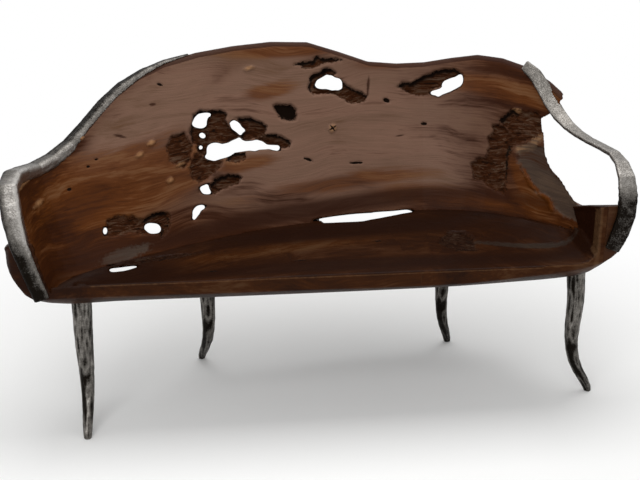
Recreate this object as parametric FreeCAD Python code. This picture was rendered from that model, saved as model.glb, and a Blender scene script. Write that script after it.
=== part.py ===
import FreeCAD, Part
import math
import os

os.makedirs("parts", exist_ok=True)
Vector = FreeCAD.Vector

# Live edge bench: a hollowed log seat, a carved shell backrest that wraps round the left end
# as an arm, a cast band over the left live edge, a cast strap arm on the right, four cast legs.
# X runs along the bench, Y from the front lip to the back, Z up from the floor.

# Driving dimensions of the whole bench, millimetres
half_length = 860.0
seat_height = 455.0
seat_depth = 500.0
back_rise = 535.0

# Seat log
belly_thickness = 95.0
dish_depth = 20.0
left_wall_rise = 117.0
right_wall_rise = 166.0
seam_lift = 3.0
seam_tilt = 39.0
ledge_stock = 45.0

# Backrest shell
foot_thickness = 100.0
top_thickness = 50.0
back_lean = 160.0
hollow_share = 0.32
knot_size = 60.0

# Cast arms
band_width = 52.0
band_depth = 44.0
band_proud = 12.0
strap_width = 52.0
strap_thickness = 14.0
bar_corner_share = 0.38
bar_sections = 16

# Cast legs
leg_plug_length = 40.0
leg_diameter = 53.0
leg_kick = 75.0
seat_over_leg = 30.0
leg_sections = 14

# Fasteners
bolt_diameter = 10.0
bolt_in_leg = 40.0
insert_wall = 2.7
insert_length = 20.0
lag_diameter = 10.0
lag_grip = 22.0
lag_in_back = 55.0
lag_head_width = 17.0
lag_head_sides = 6
lag_head_height = 7.0
lag_flange_width = 24.0
lag_flange_thickness = 2.5
counterbore_room = 1.5
stud_diameter = 6.0
stud_in_wood = 30.0
stud_in_band = 6.0

# Gaps between the pieces, and how far a cut runs past what it cuts
fit_gap = 0.3
seat_gap = 0.3
overrun = 60.0

# Sizes that follow from those above
insert_diameter = bolt_diameter + 2 * (fit_gap + insert_wall)
counterbore_diameter = lag_flange_width + 2 * counterbore_room

# Stations of the backrest along its foot, left front corner to right front corner:
# along the bench and depth of the inner foot, turn of the wall in degrees (90 faces an arm),
# then shares of foot thickness, lean, top thickness and rise above the seat
back_station_shares = [
    (-0.880, 0.028, 90.0, 0.38, 0.36, 0.80, 0.500),
    (-0.862, 0.190, 77.0, 0.52, 0.47, 0.84, 0.517),
    (-0.802, 0.330, 58.0, 0.80, 0.72, 0.88, 0.488),
    (-0.705, 0.450, 43.0, 1.00, 0.94, 0.92, 0.557),
    (-0.581, 0.570, 33.0, 1.00, 1.00, 0.88, 0.796),
    (-0.442, 0.696, 27.0, 0.88, 1.00, 0.84, 0.928),
    (-0.233, 0.850, 17.0, 0.70, 0.94, 0.84, 0.994),
    (0.000, 0.936, 8.0, 0.62, 0.89, 0.84, 1.000),
    (0.209, 0.996, 3.0, 0.60, 0.84, 0.84, 0.877),
    (0.384, 1.004, -8.0, 0.62, 0.78, 0.84, 0.869),
    (0.523, 0.924, -24.0, 0.66, 0.72, 0.84, 0.923),
    (0.645, 0.780, -38.0, 0.70, 0.63, 0.80, 0.879),
    (0.744, 0.580, -55.0, 0.68, 0.47, 0.76, 0.738),
    (0.800, 0.380, -72.0, 0.62, 0.28, 0.72, 0.570),
    (0.816, 0.210, -86.0, 0.56, 0.125, 0.68, 0.346),
]

# Stations of the seat log along the bench: shares of half length, then belly thickness below
# the lip for the front edge and the belly, end wall rise, ledge stock, front and rear depth
log_station_shares = [
    (-1.002, -0.63, -0.69, 0.83, 2.80, 0.060, 0.200),
    (-0.990, -0.36, -0.26, 0.94, 2.60, 0.024, 0.290),
    (-0.965, 0.00, 0.16, 0.98, 1.70, 0.006, 0.385),
    (-0.930, 0.30, 0.56, 1.00, 0.80, 0.0, 0.475),
    (-0.837, 0.31, 0.81, 1.00, 0.55, 0.0, 0.620),
    (-0.698, 0.32, 0.85, 1.00, 0.90, 0.0, 0.765),
    (-0.465, 0.35, 0.92, 0.92, 1.00, 0.0, 0.925),
    (-0.174, 0.37, 0.98, 0.85, 1.00, 0.0, 1.055),
    (0.116, 0.40, 1.00, 0.62, 1.00, 0.0, 1.140),
    (0.395, 0.39, 0.98, 0.66, 1.00, 0.0, 1.170),
    (0.581, 0.26, 0.92, 0.75, 0.90, 0.0, 1.075),
    (0.721, 0.16, 0.80, 0.90, 0.60, 0.0, 0.905),
    (0.814, -0.02, 0.60, 0.99, 0.20, 0.0, 0.725),
    (0.866, -0.22, 0.06, 1.00, 0.35, 0.0, 0.570),
    (0.900, -0.54, -0.28, 1.00, 0.90, 0.004, 0.430),
    (0.915, -0.84, -0.72, 0.99, 1.50, 0.012, 0.340),
    (0.923, -1.15, -1.00, 0.94, 2.00, 0.030, 0.260),
]

# Bends of a log section, as shares of its depth and then of the fall they lie on: the sloping
# top of an end wall, the rear face, the heel, the rear of the belly, the keel, the front bilge
top_bow_shares = (0.45, 0.38)
rear_bow_shares = (0.97, 0.60)
heel_shares = (0.88, 0.10)
belly_bow_shares = (0.70, 0.01)
keel_share = 0.50
bilge_shares = (0.20, 0.15)

# Floor of the dish along the bench: shares of half length, rear edge in seat depth, dish depth
# at its lowest and lift of the whole floor in dish depths where it turns up into the end wall
dish_station_shares = [
    (-0.880, 0.12, 0.60, 0.0),
    (-0.800, 0.34, 1.20, 0.0),
    (-0.700, 0.46, 1.35, 0.0),
    (-0.560, 0.59, 1.25, 0.0),
    (-0.400, 0.73, 1.15, 0.0),
    (-0.200, 0.86, 1.05, 0.0),
    (0.000, 0.94, 1.00, 0.0),
    (0.200, 1.00, 0.95, 0.0),
    (0.384, 1.004, 0.90, 0.0),
    (0.523, 0.924, 0.80, 0.0),
    (0.645, 0.780, 0.60, 0.0),
    (0.744, 0.580, 0.35, 0.1),
    (0.795, 0.420, 0.10, 0.5),
    (0.814, 0.360, 0.00, 1.5),
]

# The bite out of the right of the backrest, seen from the front, from the lobe down to the
# end wall: shares of half length and of the rise above the seat
bite_shares = [
    (0.860, 0.800),
    (0.812, 0.730),
    (0.806, 0.690),
    (0.790, 0.655),
    (0.767, 0.620),
    (0.765, 0.580),
    (0.768, 0.475),
    (0.772, 0.405),
    (0.784, 0.350),
    (0.800, 0.315),
    (0.815, 0.255),
    (0.830, 0.215),
    (0.860, 0.190),
]

# Outlines of the natural holes, as shares of half their width and height
pebble_outline_shares = [
    (-1.0, -0.1), (-0.75, 0.65), (-0.1, 1.0), (0.75, 0.85), (1.0, 0.1), (0.6, -0.75), (-0.2, -1.0),
]
shard_outline_shares = [
    (-1.0, -0.85), (-0.85, 0.25), (-0.25, 0.85), (0.95, 1.0), (0.75, 0.05), (0.1, -0.6),
]
leaf_outline_shares = [
    (-1.0, -0.8), (-0.8, -0.1), (-0.3, 0.45), (0.35, 0.9), (0.95, 1.0), (0.85, 0.4), (0.3, -0.15),
    (-0.4, -0.65),
]
saddle_outline_shares = [
    (-1.0, -0.4), (-0.75, 0.35), (-0.35, 0.55), (-0.15, 1.0), (0.2, 0.6), (0.8, 0.45), (1.0, -0.2),
    (0.75, -0.95), (0.1, -0.7), (-0.5, -0.75),
]
lightning_outline_shares = [
    (-1.0, -0.75), (-0.98, 0.05), (-0.8, 0.42), (-0.35, 0.3), (-0.08, 1.0), (0.12, 0.55), (0.45, 0.5),
    (0.62, 0.15), (1.0, 0.0), (0.95, -0.3), (0.3, -0.33), (-0.1, -0.45), (-0.45, -0.62), (-0.78, -0.95),
]

# Natural holes through the backrest: share of half length and of rise above the seat, width and
# height in knot sizes, turn in degrees, outline, then how far the hole drifts to the right and
# falls on its way back through the wood, as shares of that way
natural_hole_shares = [
    (-0.411, 0.615, 0.95, 0.62, 18.0, pebble_outline_shares, 0.00, 0.20),
    (-0.408, 0.533, 0.36, 0.26, -8.0, pebble_outline_shares, 0.00, 0.22),
    (-0.419, 0.471, 0.21, 0.21, 0.0, pebble_outline_shares, 0.00, 0.23),
    (-0.288, 0.560, 0.98, 0.48, -52.0, leaf_outline_shares, 0.04, 0.21),
    (-0.272, 0.450, 3.95, 0.98, 2.0, lightning_outline_shares, 0.04, 0.23),
    (-0.405, 0.257, 0.62, 0.56, -25.0, shard_outline_shares, 0.00, 0.27),
    (-0.433, 0.143, 0.95, 0.36, 42.0, leaf_outline_shares, -0.01, 0.30),
    (-0.586, 0.099, 0.80, 0.48, -12.0, pebble_outline_shares, -0.06, 0.31),
    (-0.735, 0.122, 0.20, 0.34, 0.0, pebble_outline_shares, -0.10, 0.31),
    (0.045, 0.780, 1.45, 0.90, 0.0, saddle_outline_shares, 0.13, 0.16),
    (0.481, 0.753, 1.75, 0.72, 22.0, leaf_outline_shares, 0.25, 0.17),
]

# Splits along the seam between seat and backrest, seen from the front: ends and middle as
# shares of half length, height above the seam as shares of knot size, then the way the split
# runs back through the wood
seam_split_shares = [
    (-0.758, -0.640, 0.05, -0.12, (-0.09, 0.94, -0.34)),
    (-0.066, 0.350, 0.23, -0.15, (0.15, 0.95, -0.30)),
]

# How far outside its own length a split looks for stations of the backrest, in half lengths, and
# how far in front of them it starts, in their depths behind the lip
split_margin_share = 0.1
split_lead_share = 0.17

# Left band: rows up the front as shares of the wall height, how far out from the wall's middle in
# band widths, depth behind the lip in band depths, width and depth, then rows over the live edge
# as place between the stations of the backrest, width and depth shares
band_front_shares = [
    (0.00, 0.00, 0.10, 0.80, 0.67),
    (0.25, 0.08, 0.09, 0.84, 0.71),
    (0.50, 0.17, 0.08, 0.92, 0.76),
    (0.75, 0.12, 0.09, 1.00, 0.84),
    (1.02, 0.02, 0.22, 1.00, 0.94),
]
band_top_shares = [
    (1, 1.00, 1.00),
    (2, 0.98, 0.95),
    (3, 0.92, 0.90),
    (4, 0.82, 0.80),
    (5, 0.52, 0.46),
    (5.4, 0.26, 0.26),
]

# Right strap: centre line as shares of half length, seat depth and rise above the seat, the
# direction of its width, and shares of its width and thickness
strap_station_shares = [
    ((0.724, 0.964, 0.886), (0.67, -0.30, 0.64), 0.66, 0.75),
    ((0.754, 0.870, 0.834), (0.67, -0.30, 0.64), 0.80, 1.00),
    ((0.779, 0.774, 0.740), (0.70, -0.26, 0.60), 0.84, 1.00),
    ((0.797, 0.690, 0.668), (0.76, -0.12, 0.52), 0.80, 1.00),
    ((0.813, 0.622, 0.624), (0.86, 0.05, 0.40), 0.70, 1.00),
    ((0.828, 0.522, 0.592), (0.92, 0.24, 0.24), 0.62, 0.95),
    ((0.852, 0.390, 0.565), (0.94, 0.32, 0.12), 0.58, 0.95),
    ((0.875, 0.280, 0.550), (0.94, 0.30, 0.08), 0.59, 0.95),
    ((0.890, 0.190, 0.536), (0.96, 0.22, 0.04), 0.66, 1.00),
    ((0.893, 0.100, 0.510), (0.98, 0.12, 0.00), 0.78, 1.00),
    ((0.892, 0.030, 0.469), (1.00, 0.04, 0.00), 0.90, 1.00),
    ((0.894, -0.006, 0.417), (1.00, 0.00, 0.00), 0.97, 1.00),
    ((0.896, None, 0.357), (1.00, 0.00, 0.00), 1.00, 1.00),
    ((0.897, None, 0.284), (1.00, 0.00, 0.10), 1.00, 1.00),
    ((0.888, None, 0.211), (0.96, 0.00, 0.26), 1.00, 1.00),
    ((0.875, None, 0.148), (0.90, 0.00, 0.40), 0.96, 1.00),
    ((0.859, None, 0.084), (0.84, 0.00, 0.48), 0.80, 0.85),
]

# Legs: name, share of half length and seat depth at the foot, turn of the kick in degrees, and
# its size
leg_places_shares = [
    ("front_left_leg", -0.807, 0.064, -92.0, 1.00),
    ("front_right_leg", 0.898, 0.296, 12.0, 1.02),
    ("rear_left_leg", -0.442, 1.030, 107.0, 1.30),
    ("rear_right_leg", 0.510, 1.104, 55.0, 1.00),
]

# Leg profile from the floor up to its plug: shares of height, kick and diameter
leg_profile_shares = [
    (0.00, 1.00, 0.36),
    (0.05, 0.92, 0.44),
    (0.17, 0.50, 0.54),
    (0.29, 0.20, 0.63),
    (0.42, 0.07, 0.71),
    (0.55, 0.07, 0.80),
    (0.68, 0.12, 0.88),
    (0.80, 0.10, 0.93),
    (0.92, 0.02, 0.97),
    (1.00, 0.00, 1.00),
]

# Stations of the backrest that a lag screw from beneath the seat holds
lag_stations = (1, 3, 5, 7, 9, 11)
# Rows of the band, and of the strap, that a stud holds
band_stud_front_rows = (1, 3)
band_stud_top_rows = (0, 2, 3)
strap_stud_rows = (1, 2, 13, 15)


def seam_height(x):
    """Height of the flat ledge that carries the backrest, which climbs to the right."""
    return seat_height + seam_lift + seam_tilt * x / half_length


def spline_edge(points):
    """Smooth edge through the points, all with the same spacing of parameters."""
    curve = Part.BSplineCurve()
    steps = [index / (len(points) - 1) for index in range(len(points))]
    curve.interpolate(Points=points, Parameters=steps)
    return curve.toShape()


def arc_edge(start, middle, end):
    """Arc through three points."""
    return Part.Arc(start, middle, end).toShape()


def row_at(rows, mark):
    """Row of shares at a mark between the rows of a table, on a smooth curve through them."""
    last = len(rows) - 1
    start = min(int(mark), last - 1)
    share = mark - start
    nearby = (rows[max(start - 1, 0)], rows[start], rows[start + 1], rows[min(start + 2, last)])
    blended = []
    for before, here, there, after in zip(*nearby):
        step = there - here
        slope = (there - before) / 2
        next_slope = (after - here) / 2
        bend = 3 * step - 2 * slope - next_slope
        twist = slope + next_slope - 2 * step
        blended.append(here + share * (slope + share * (bend + share * twist)))
    return blended


def halved(rows):
    """Rows of a table with one more between each two."""
    return [row_at(rows, half / 2) for half in range(2 * len(rows) - 1)]


def worn_outline(points):
    """Closed outline through the points, with its sides bowed out to one more point each."""
    laps = [tuple(point) for point in points[-1:] + points + points[:2]]
    outline = []
    for index in range(1, len(points) + 1):
        outline.append(Vector(*row_at(laps, index)))
        outline.append(Vector(*row_at(laps, index + 1 / 2)))
    return Part.makePolygon(outline + outline[:1])


def solid_loft(wires):
    """Ruled solid through closed wires."""
    return Part.makeLoft(wires, True, True)


def largest_solid(shape):
    """The main body of a cut, without loose chips."""
    return max(shape.Solids, key=lambda solid: solid.Volume)


def cylinder(start, direction, length, diameter):
    """Round bar from a point."""
    return Part.makeCylinder(diameter / 2, length, start, direction)


def back_station(shares):
    """Inner foot point, outward direction and sizes of the backrest at a row of its shares."""
    along, depth, turn, foot, lean, top, rise = shares
    angle = math.radians(turn)
    x = along * half_length
    return {
        "inner_foot": Vector(x, depth * seat_depth, seam_height(x)),
        "outward": Vector(-math.sin(angle), math.cos(angle), 0),
        "foot": foot * foot_thickness,
        "lean": lean * back_lean,
        "top": top * top_thickness,
        "height": seat_height + rise * back_rise,
    }


def station_at(mark):
    """Station of the backrest at a mark between the rows of its table."""
    return back_station(row_at(back_station_shares, mark))


def wall_point(station, offset, height):
    """Point at an outward distance from the inner foot, at a height."""
    point = station["inner_foot"] + station["outward"] * offset
    return Vector(point.x, point.y, height)


def wall_faces(station, share, gap):
    """Points on the hollow inner face and on the outer face, at a share of the wall's height."""
    low = station["inner_foot"].z
    shoulder = station["height"] - station["top"] / 2
    height = low + share * (shoulder - low)
    lean = station["lean"] * (share + hollow_share * share * (1 - share))
    thickness = station["foot"] + share * (station["top"] - station["foot"])
    inner = wall_point(station, lean - gap, height)
    outer = wall_point(station, lean + thickness + gap, height)
    return inner, outer


def back_wire(station, gap):
    """Upright section of the shell: hollow inner face, round live edge, outer face, foot line."""
    inner_foot, outer_foot = wall_faces(station, 0, gap)
    inner_bow, outer_bow = wall_faces(station, 1 / 2, gap)
    inner_top, outer_top = wall_faces(station, 1, gap)
    radius = station["top"] / 2 + gap
    middle = station["lean"] + station["top"] / 2
    shoulder = inner_top.z
    slant = radius * math.sqrt(1 / 2)
    crest = wall_point(station, middle, shoulder + radius)
    return Part.Wire([
        arc_edge(inner_foot, inner_bow, inner_top),
        arc_edge(inner_top, wall_point(station, middle - slant, shoulder + slant), crest),
        arc_edge(crest, wall_point(station, middle + slant, shoulder + slant), outer_top),
        arc_edge(outer_top, outer_bow, outer_foot),
        Part.makeLine(outer_foot, inner_foot),
    ])


def shell_body(gap):
    """Whole carved shell before its holes and its bite, grown by a gap on all faces but its foot."""
    stations = [back_station(shares) for shares in halved(back_station_shares)]
    wires = [back_wire(station, gap) for station in stations]
    if gap:
        for end, inward in ((0, 1), (-1, -2)):
            step = stations[end]["inner_foot"] - stations[inward]["inner_foot"]
            step.z = 0
            step.normalize()
            wires[end].translate(step * gap)
    return solid_loft(wires)


def hole_outline(along, rise, width, height, turn, outline_shares):
    """Closed outline of a natural hole, in the upright plane through the lip."""
    angle = math.radians(turn)
    points = []
    for across, up in outline_shares:
        flat = across * width * knot_size / 2
        tall = up * height * knot_size / 2
        x = along * half_length + flat * math.cos(angle) - tall * math.sin(angle)
        z = seat_height + rise * back_rise + flat * math.sin(angle) + tall * math.cos(angle)
        points.append(Vector(x, 0, z))
    return points


def natural_hole(row):
    """Bar with a natural hole's outline that drifts and falls through the shell.

    The place in the row is that on the inner face, at about the depth of the nearest station."""
    along, rise, width, height, turn, outline_shares, drift, fall = row
    nearest = min(back_station_shares, key=lambda shares: abs(shares[0] - along))
    lean_at_hole = nearest[4] * back_lean * rise / nearest[6]
    face_depth = nearest[1] * seat_depth + lean_at_hole
    way = Vector(drift, 1, -fall) * (seat_depth / 2)
    start = Vector(0, face_depth, 0) - way
    points = [point + start for point in hole_outline(along, rise, width, height, turn, outline_shares)]
    return Part.Face(worn_outline(points)).extrude(way + way)


def bite_body(gap):
    """Bar that cuts the right of the shell down to its low wing, a gap further right."""
    points = []
    for along, rise in bite_shares:
        points.append(Vector(along * half_length + gap, 0, seat_height + rise * back_rise))
    edge = spline_edge(points)
    far_right = half_length + overrun
    upper = Vector(far_right, 0, points[0].z)
    lower = Vector(far_right, 0, points[-1].z)
    sides = [
        edge,
        Part.makeLine(points[-1], lower),
        Part.makeLine(lower, upper),
        Part.makeLine(upper, points[0]),
    ]
    return Part.Face(Part.Wire(sides)).extrude(Vector(0, 2 * seat_depth, 0))


def seam_split(left, right, upper, lower, way):
    """Thin lens that runs back through seat and shell along the seam."""
    x_left = left * half_length
    x_right = right * half_length
    middle = (x_left + x_right) / 2
    points = [
        Vector(x_left, 0, seam_height(x_left)),
        Vector(middle, 0, seam_height(middle) + upper * knot_size),
        Vector(x_right, 0, seam_height(x_right)),
        Vector(middle, 0, seam_height(middle) + lower * knot_size),
    ]
    upper_edge = spline_edge(points[:3])
    lower_edge = spline_edge([points[2], points[3], points[0]])
    face = Part.Face(Part.Wire([upper_edge, lower_edge]))
    foot_depths = []
    for shares in back_station_shares:
        if left - split_margin_share < shares[0] < right + split_margin_share:
            foot_depths.append(shares[1] * seat_depth)
    mean_depth = sum(foot_depths) / len(foot_depths)
    direction = Vector(*way)
    lead = mean_depth * split_lead_share
    face.translate(Vector(0, mean_depth, 0) - direction * lead)
    return face.extrude(direction * seat_depth)


def log_wire(row):
    """Section of the seat log across the bench: flat front, sloping top, round back and belly."""
    along, front_low, belly, wall, stock, front, rear = row
    x = along * half_length
    wall_rise = left_wall_rise if x < 0 else right_wall_rise
    y_front = front * seat_depth
    run = rear * seat_depth - y_front
    z_front = seat_height - front_low * belly_thickness
    z_belly = seat_height - belly * belly_thickness
    z_wall = seat_height + wall * wall_rise
    z_ledge = seam_height(x) + stock * ledge_stock

    def point(across, high, low, rise_share):
        """Point at a share of the section's depth, and of the rise from one height to another."""
        return Vector(x, y_front + across * run, low + rise_share * (high - low))

    rim = point(0, z_wall, z_ledge, 1)
    ledge = point(1, z_ledge, z_belly, 1)
    heel = point(heel_shares[0], z_ledge, z_belly, heel_shares[1])
    keel = point(keel_share, z_ledge, z_belly, 0)
    foot = Vector(x, y_front, z_front)
    return Part.Wire([
        Part.makeLine(foot, rim),
        arc_edge(rim, point(top_bow_shares[0], z_ledge, z_wall, top_bow_shares[1]), ledge),
        arc_edge(ledge, point(rear_bow_shares[0], z_belly, z_ledge, rear_bow_shares[1]), heel),
        arc_edge(heel, point(belly_bow_shares[0], z_ledge, z_belly, belly_bow_shares[1]), keel),
        arc_edge(keel, point(bilge_shares[0], z_front, z_belly, bilge_shares[1]), foot),
    ])


def dish_wire(row):
    """Section of what is hollowed out above the seat, down to the dish and the ledge."""
    along, rear, depth, lift = row
    x = along * half_length
    y_rear = rear * seat_depth
    rise = lift * dish_depth
    z_lip = seat_height + rise
    z_ledge = seam_height(x)
    z_rear = z_ledge + rise
    z_dish = min(z_lip, z_rear) - depth * dish_depth / 2 + rise
    far = 2 * seat_depth
    high = seat_height + back_rise
    corners = [
        Vector(x, -overrun, z_lip),
        Vector(x, 0, z_lip),
        Vector(x, y_rear / 2, z_dish),
        Vector(x, y_rear, z_rear),
        Vector(x, far, z_rear),
        Vector(x, far, high),
        Vector(x, -overrun, high),
    ]
    return Part.Wire([
        Part.makeLine(corners[0], corners[1]),
        arc_edge(*corners[1:4]),
        Part.makeLine(corners[3], corners[4]),
        Part.makeLine(corners[4], corners[5]),
        Part.makeLine(corners[5], corners[6]),
        Part.makeLine(corners[6], corners[0]),
    ])


def bar_section(centre, across, normal, width, depth):
    """Rectangle with round corners, square to a bar."""
    radius = bar_corner_share * min(width, depth)
    flat = width / 2 - radius
    side = depth / 2 - radius
    slant = radius * math.sqrt(1 / 2)
    edges = []
    for right, up in ((1, -1), (1, 1), (-1, 1), (-1, -1)):
        corner = centre + across * (right * flat) + normal * (up * side)
        outward = across * (right * radius)
        upward = normal * (up * radius)
        ends = [corner + upward, corner + outward]
        if right == up:
            ends.reverse()
        tip = corner + across * (right * slant) + normal * (up * slant)
        edges.append(arc_edge(ends[0], tip, ends[1]))
    outline = []
    for arc, following in zip(edges, edges[1:] + edges[:1]):
        outline.append(arc)
        outline.append(Part.makeLine(arc.Vertexes[-1].Point, following.Vertexes[0].Point))
    return Part.Wire(outline)


def path_frames(centres, width_directions):
    """Directions across and square to a bar at each point of its centre line."""
    frames = []
    for index, centre in enumerate(centres):
        before = centres[max(index - 1, 0)]
        after = centres[min(index + 1, len(centres) - 1)]
        tangent = (after - before).normalize()
        width = Vector(*width_directions[index])
        across = (width - tangent * width.dot(tangent)).normalize()
        frames.append((across, tangent.cross(across).normalize()))
    return frames


def even_rows(rows, count):
    """Rows of a bar spaced evenly along the smooth line through the rows given."""
    line = Part.BSplineCurve()
    line.interpolate(Points=[row[0] for row in rows])
    marks = [line.parameter(row[0]) for row in rows]
    even = []
    for point in line.toShape().discretize(count):
        mark = line.parameter(point)
        index = 0
        while index < len(rows) - 2 and mark > marks[index + 1]:
            index += 1
        share = (mark - marks[index]) / (marks[index + 1] - marks[index])
        before = rows[index]
        after = rows[index + 1]
        direction = Vector(*before[1]) * (1 - share) + Vector(*after[1]) * share
        width = before[2] + share * (after[2] - before[2])
        depth = before[3] + share * (after[3] - before[3])
        even.append((point, direction, width, depth))
    return even


def bar_body(rows):
    """Bar lofted along its rows, with evenly spaced sections."""
    rows = even_rows(rows, bar_sections)
    frames = path_frames([row[0] for row in rows], [row[1] for row in rows])
    wires = []
    for (centre, _, width, depth), (across, normal) in zip(rows, frames):
        wires.append(bar_section(centre, across, normal, width, depth))
    return solid_loft(wires)


def band_rows():
    """Centre, width direction, width and depth of each section of the left band."""
    station = station_at(0)
    rows = []
    for share, aside, behind, width, depth in band_front_shares:
        inner, outer = wall_faces(station, share, 0)
        centre = (inner + outer) / 2 + station["outward"] * (aside * band_width)
        centre.y = behind * band_depth
        rows.append((centre, station["outward"], width * band_width, depth * band_depth))
    for mark, width, depth in band_top_shares:
        station = station_at(mark)
        height = station["height"] + band_proud * depth - depth * band_depth / 2
        offset = station["lean"] + station["top"] / 2
        centre = wall_point(station, offset, height)
        rows.append((centre, station["outward"], width * band_width, depth * band_depth))
    return rows


def strap_rows():
    """Centre, width direction, width and thickness of each section of the right strap."""
    rows = []
    against_wall = -(strap_thickness / 2 + seat_gap)
    for (along, depth, rise), direction, width, thick in strap_station_shares:
        y = against_wall if depth is None else depth * seat_depth
        centre = Vector(along * half_length, y, seat_height + rise * back_rise)
        rows.append((centre, direction, width * strap_width, thick * strap_thickness))
    return rows


def strap_frames():
    """Directions across and square to the strap at each of its sections."""
    rows = strap_rows()
    return path_frames([row[0] for row in rows], [row[1] for row in rows])


def leg_kick_out(row):
    """How far and which way a leg's foot kicks out from under its top."""
    angle = math.radians(row[3])
    return Vector(math.cos(angle), math.sin(angle), 0) * (row[4] * leg_kick)


def leg_top(row):
    """Centre of the leg's top face, against the ceiling of its socket."""
    foot = Vector(row[1] * half_length, row[2] * seat_depth, 0)
    top = foot - leg_kick_out(row)
    return Vector(top.x, top.y, seam_height(top.x) - seat_over_leg)


def leg_body(row):
    """One cast leg: a horn that kicks out at the foot, with a straight plug at the top."""
    out = leg_kick_out(row)
    top = leg_top(row)
    plug_start = Vector(top.x, top.y, top.z - leg_plug_length)
    last_mark = len(leg_profile_shares) - 1
    centres = []
    diameters = []
    for index in range(leg_sections):
        height, kick, width = row_at(leg_profile_shares, last_mark * index / (leg_sections - 1))
        centres.append(Vector(top.x, top.y, height * plug_start.z) + out * kick)
        diameters.append(width * leg_diameter)
    wires = []
    for index, centre in enumerate(centres):
        if index in (0, leg_sections - 1):
            along = Vector(0, 0, 1)
        else:
            along = centres[index + 1] - centres[index - 1]
        wires.append(Part.Wire([Part.makeCircle(diameters[index] / 2, centre, along)]))
    horn = solid_loft(wires)
    plug = cylinder(plug_start, Vector(0, 0, 1), leg_plug_length, leg_diameter)
    return horn.fuse(plug).removeSplitter()


def lag_place(number):
    """Point on the seam where a lag screw passes from the seat into the backrest."""
    station = station_at(number)
    return station["inner_foot"] + station["outward"] * (station["foot"] / 2)


def lag_solid(number):
    """Lag screw with a hex head and a flange, head down in its counterbore."""
    up = Vector(0, 0, 1)
    bearing = lag_place(number) - up * lag_grip
    flange_bottom = bearing - up * lag_flange_thickness
    head_bottom = flange_bottom - up * lag_head_height
    corner = lag_head_width / math.sqrt(3)
    corners = []
    for side in range(lag_head_sides + 1):
        angle = 2 * math.pi * side / lag_head_sides
        corners.append(head_bottom + Vector(corner * math.cos(angle), corner * math.sin(angle), 0))
    head = Part.Face(Part.makePolygon(corners)).extrude(up * lag_head_height)
    flange = cylinder(flange_bottom, up, lag_flange_thickness, lag_flange_width)
    shank = cylinder(bearing, up, lag_grip + lag_in_back, lag_diameter)
    return head.fuse([flange, shank])


def band_studs():
    """Start point in the wood and direction of each stud of the left band."""
    places = []
    rows = band_rows()
    for index in band_stud_front_rows:
        centre = rows[index][0]
        face = station_at(0)["inner_foot"].y
        start = Vector(centre.x, face + stud_in_wood, centre.z)
        places.append((start, Vector(0, -1, 0)))
    for index in band_stud_top_rows:
        station = station_at(band_top_shares[index][0])
        offset = station["lean"] + station["top"] / 2
        start = wall_point(station, offset, station["height"] - stud_in_wood)
        places.append((start, Vector(0, 0, 1)))
    return places


def strap_studs():
    """Start point in the wood and direction of each stud of the right strap."""
    places = []
    rows = strap_rows()
    frames = strap_frames()
    for index in strap_stud_rows:
        centre = rows[index][0]
        inward = frames[index][1]
        if inward.y < 0:
            inward = inward * -1
        wood_face = centre + inward * (strap_thickness / 2)
        places.append((wood_face + inward * stud_in_wood, inward * -1))
    return places


def stud_solid(place, clearance=0.0):
    """Threaded stud, or its hole when a clearance is given."""
    start, direction = place
    length = stud_in_wood + stud_in_band + 2 * clearance
    origin = start - direction * clearance
    return cylinder(origin, direction, length, stud_diameter + 2 * clearance)


def leg_bolt(row, clearance=0.0):
    """Threaded rod set in a leg's top, that screws into the insert in the seat."""
    start = leg_top(row) - Vector(0, 0, bolt_in_leg + clearance)
    length = bolt_in_leg + insert_length + 2 * clearance
    return cylinder(start, Vector(0, 0, 1), length, bolt_diameter + 2 * clearance)


def leg_insert(row, clearance=0.0):
    """Threaded sleeve in the seat over a leg, or its hole when a clearance is given."""
    start = leg_top(row) + Vector(0, 0, seat_gap)
    length = insert_length + clearance
    sleeve = cylinder(start, Vector(0, 0, 1), length, insert_diameter + 2 * clearance)
    if clearance:
        return sleeve
    return sleeve.cut(cylinder(start, Vector(0, 0, 1), length, bolt_diameter + 2 * fit_gap))


def make_backrest(bite, holes, splits, hole_solids):
    """Carved shell with its live edge, wing, natural holes and fastener holes."""
    shell = shell_body(0.0).cut(bite)
    for cutter in holes + splits + hole_solids:
        shell = shell.cut(cutter)
    return largest_solid(shell)


def make_seat(grown_shell, splits, hole_solids):
    """Hollowed log with its dish, end walls, ledge, leg sockets and fastener holes."""
    log = solid_loft([log_wire(row) for row in halved(log_station_shares)])
    log = log.cut(solid_loft([dish_wire(row) for row in halved(dish_station_shares)]))
    log = log.cut(left_room()).cut(grown_shell)
    for cutter in splits + hole_solids:
        log = log.cut(cutter)
    return largest_solid(log)


def left_room():
    """Wedge in front of the backrest's leaning left end, where the seat is open to the lip."""
    station = station_at(0)
    inner_foot, _ = wall_faces(station, 0, fit_gap)
    inner_bow, _ = wall_faces(station, 1 / 2, fit_gap)
    inner_top, _ = wall_faces(station, 1, fit_gap)
    corner = Vector(inner_foot.x, inner_foot.y, inner_top.z)
    outline = Part.Wire([
        arc_edge(inner_foot, inner_bow, inner_top),
        Part.makeLine(inner_top, corner),
        Part.makeLine(corner, inner_foot),
    ])
    room = Part.Face(outline)
    deep = station_at(1)["inner_foot"].y
    room.translate(Vector(0, -overrun - inner_foot.y, 0))
    return room.extrude(Vector(0, overrun + deep, 0))


def left_wall_room():
    """Block round the seat's left end wall, which the band's flat back rests against."""
    top = seat_height + left_wall_rise + seat_gap
    corner = Vector(-half_length - overrun, -seat_gap, 0)
    return Part.makeBox(half_length + overrun, seat_depth, top, corner)


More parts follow.
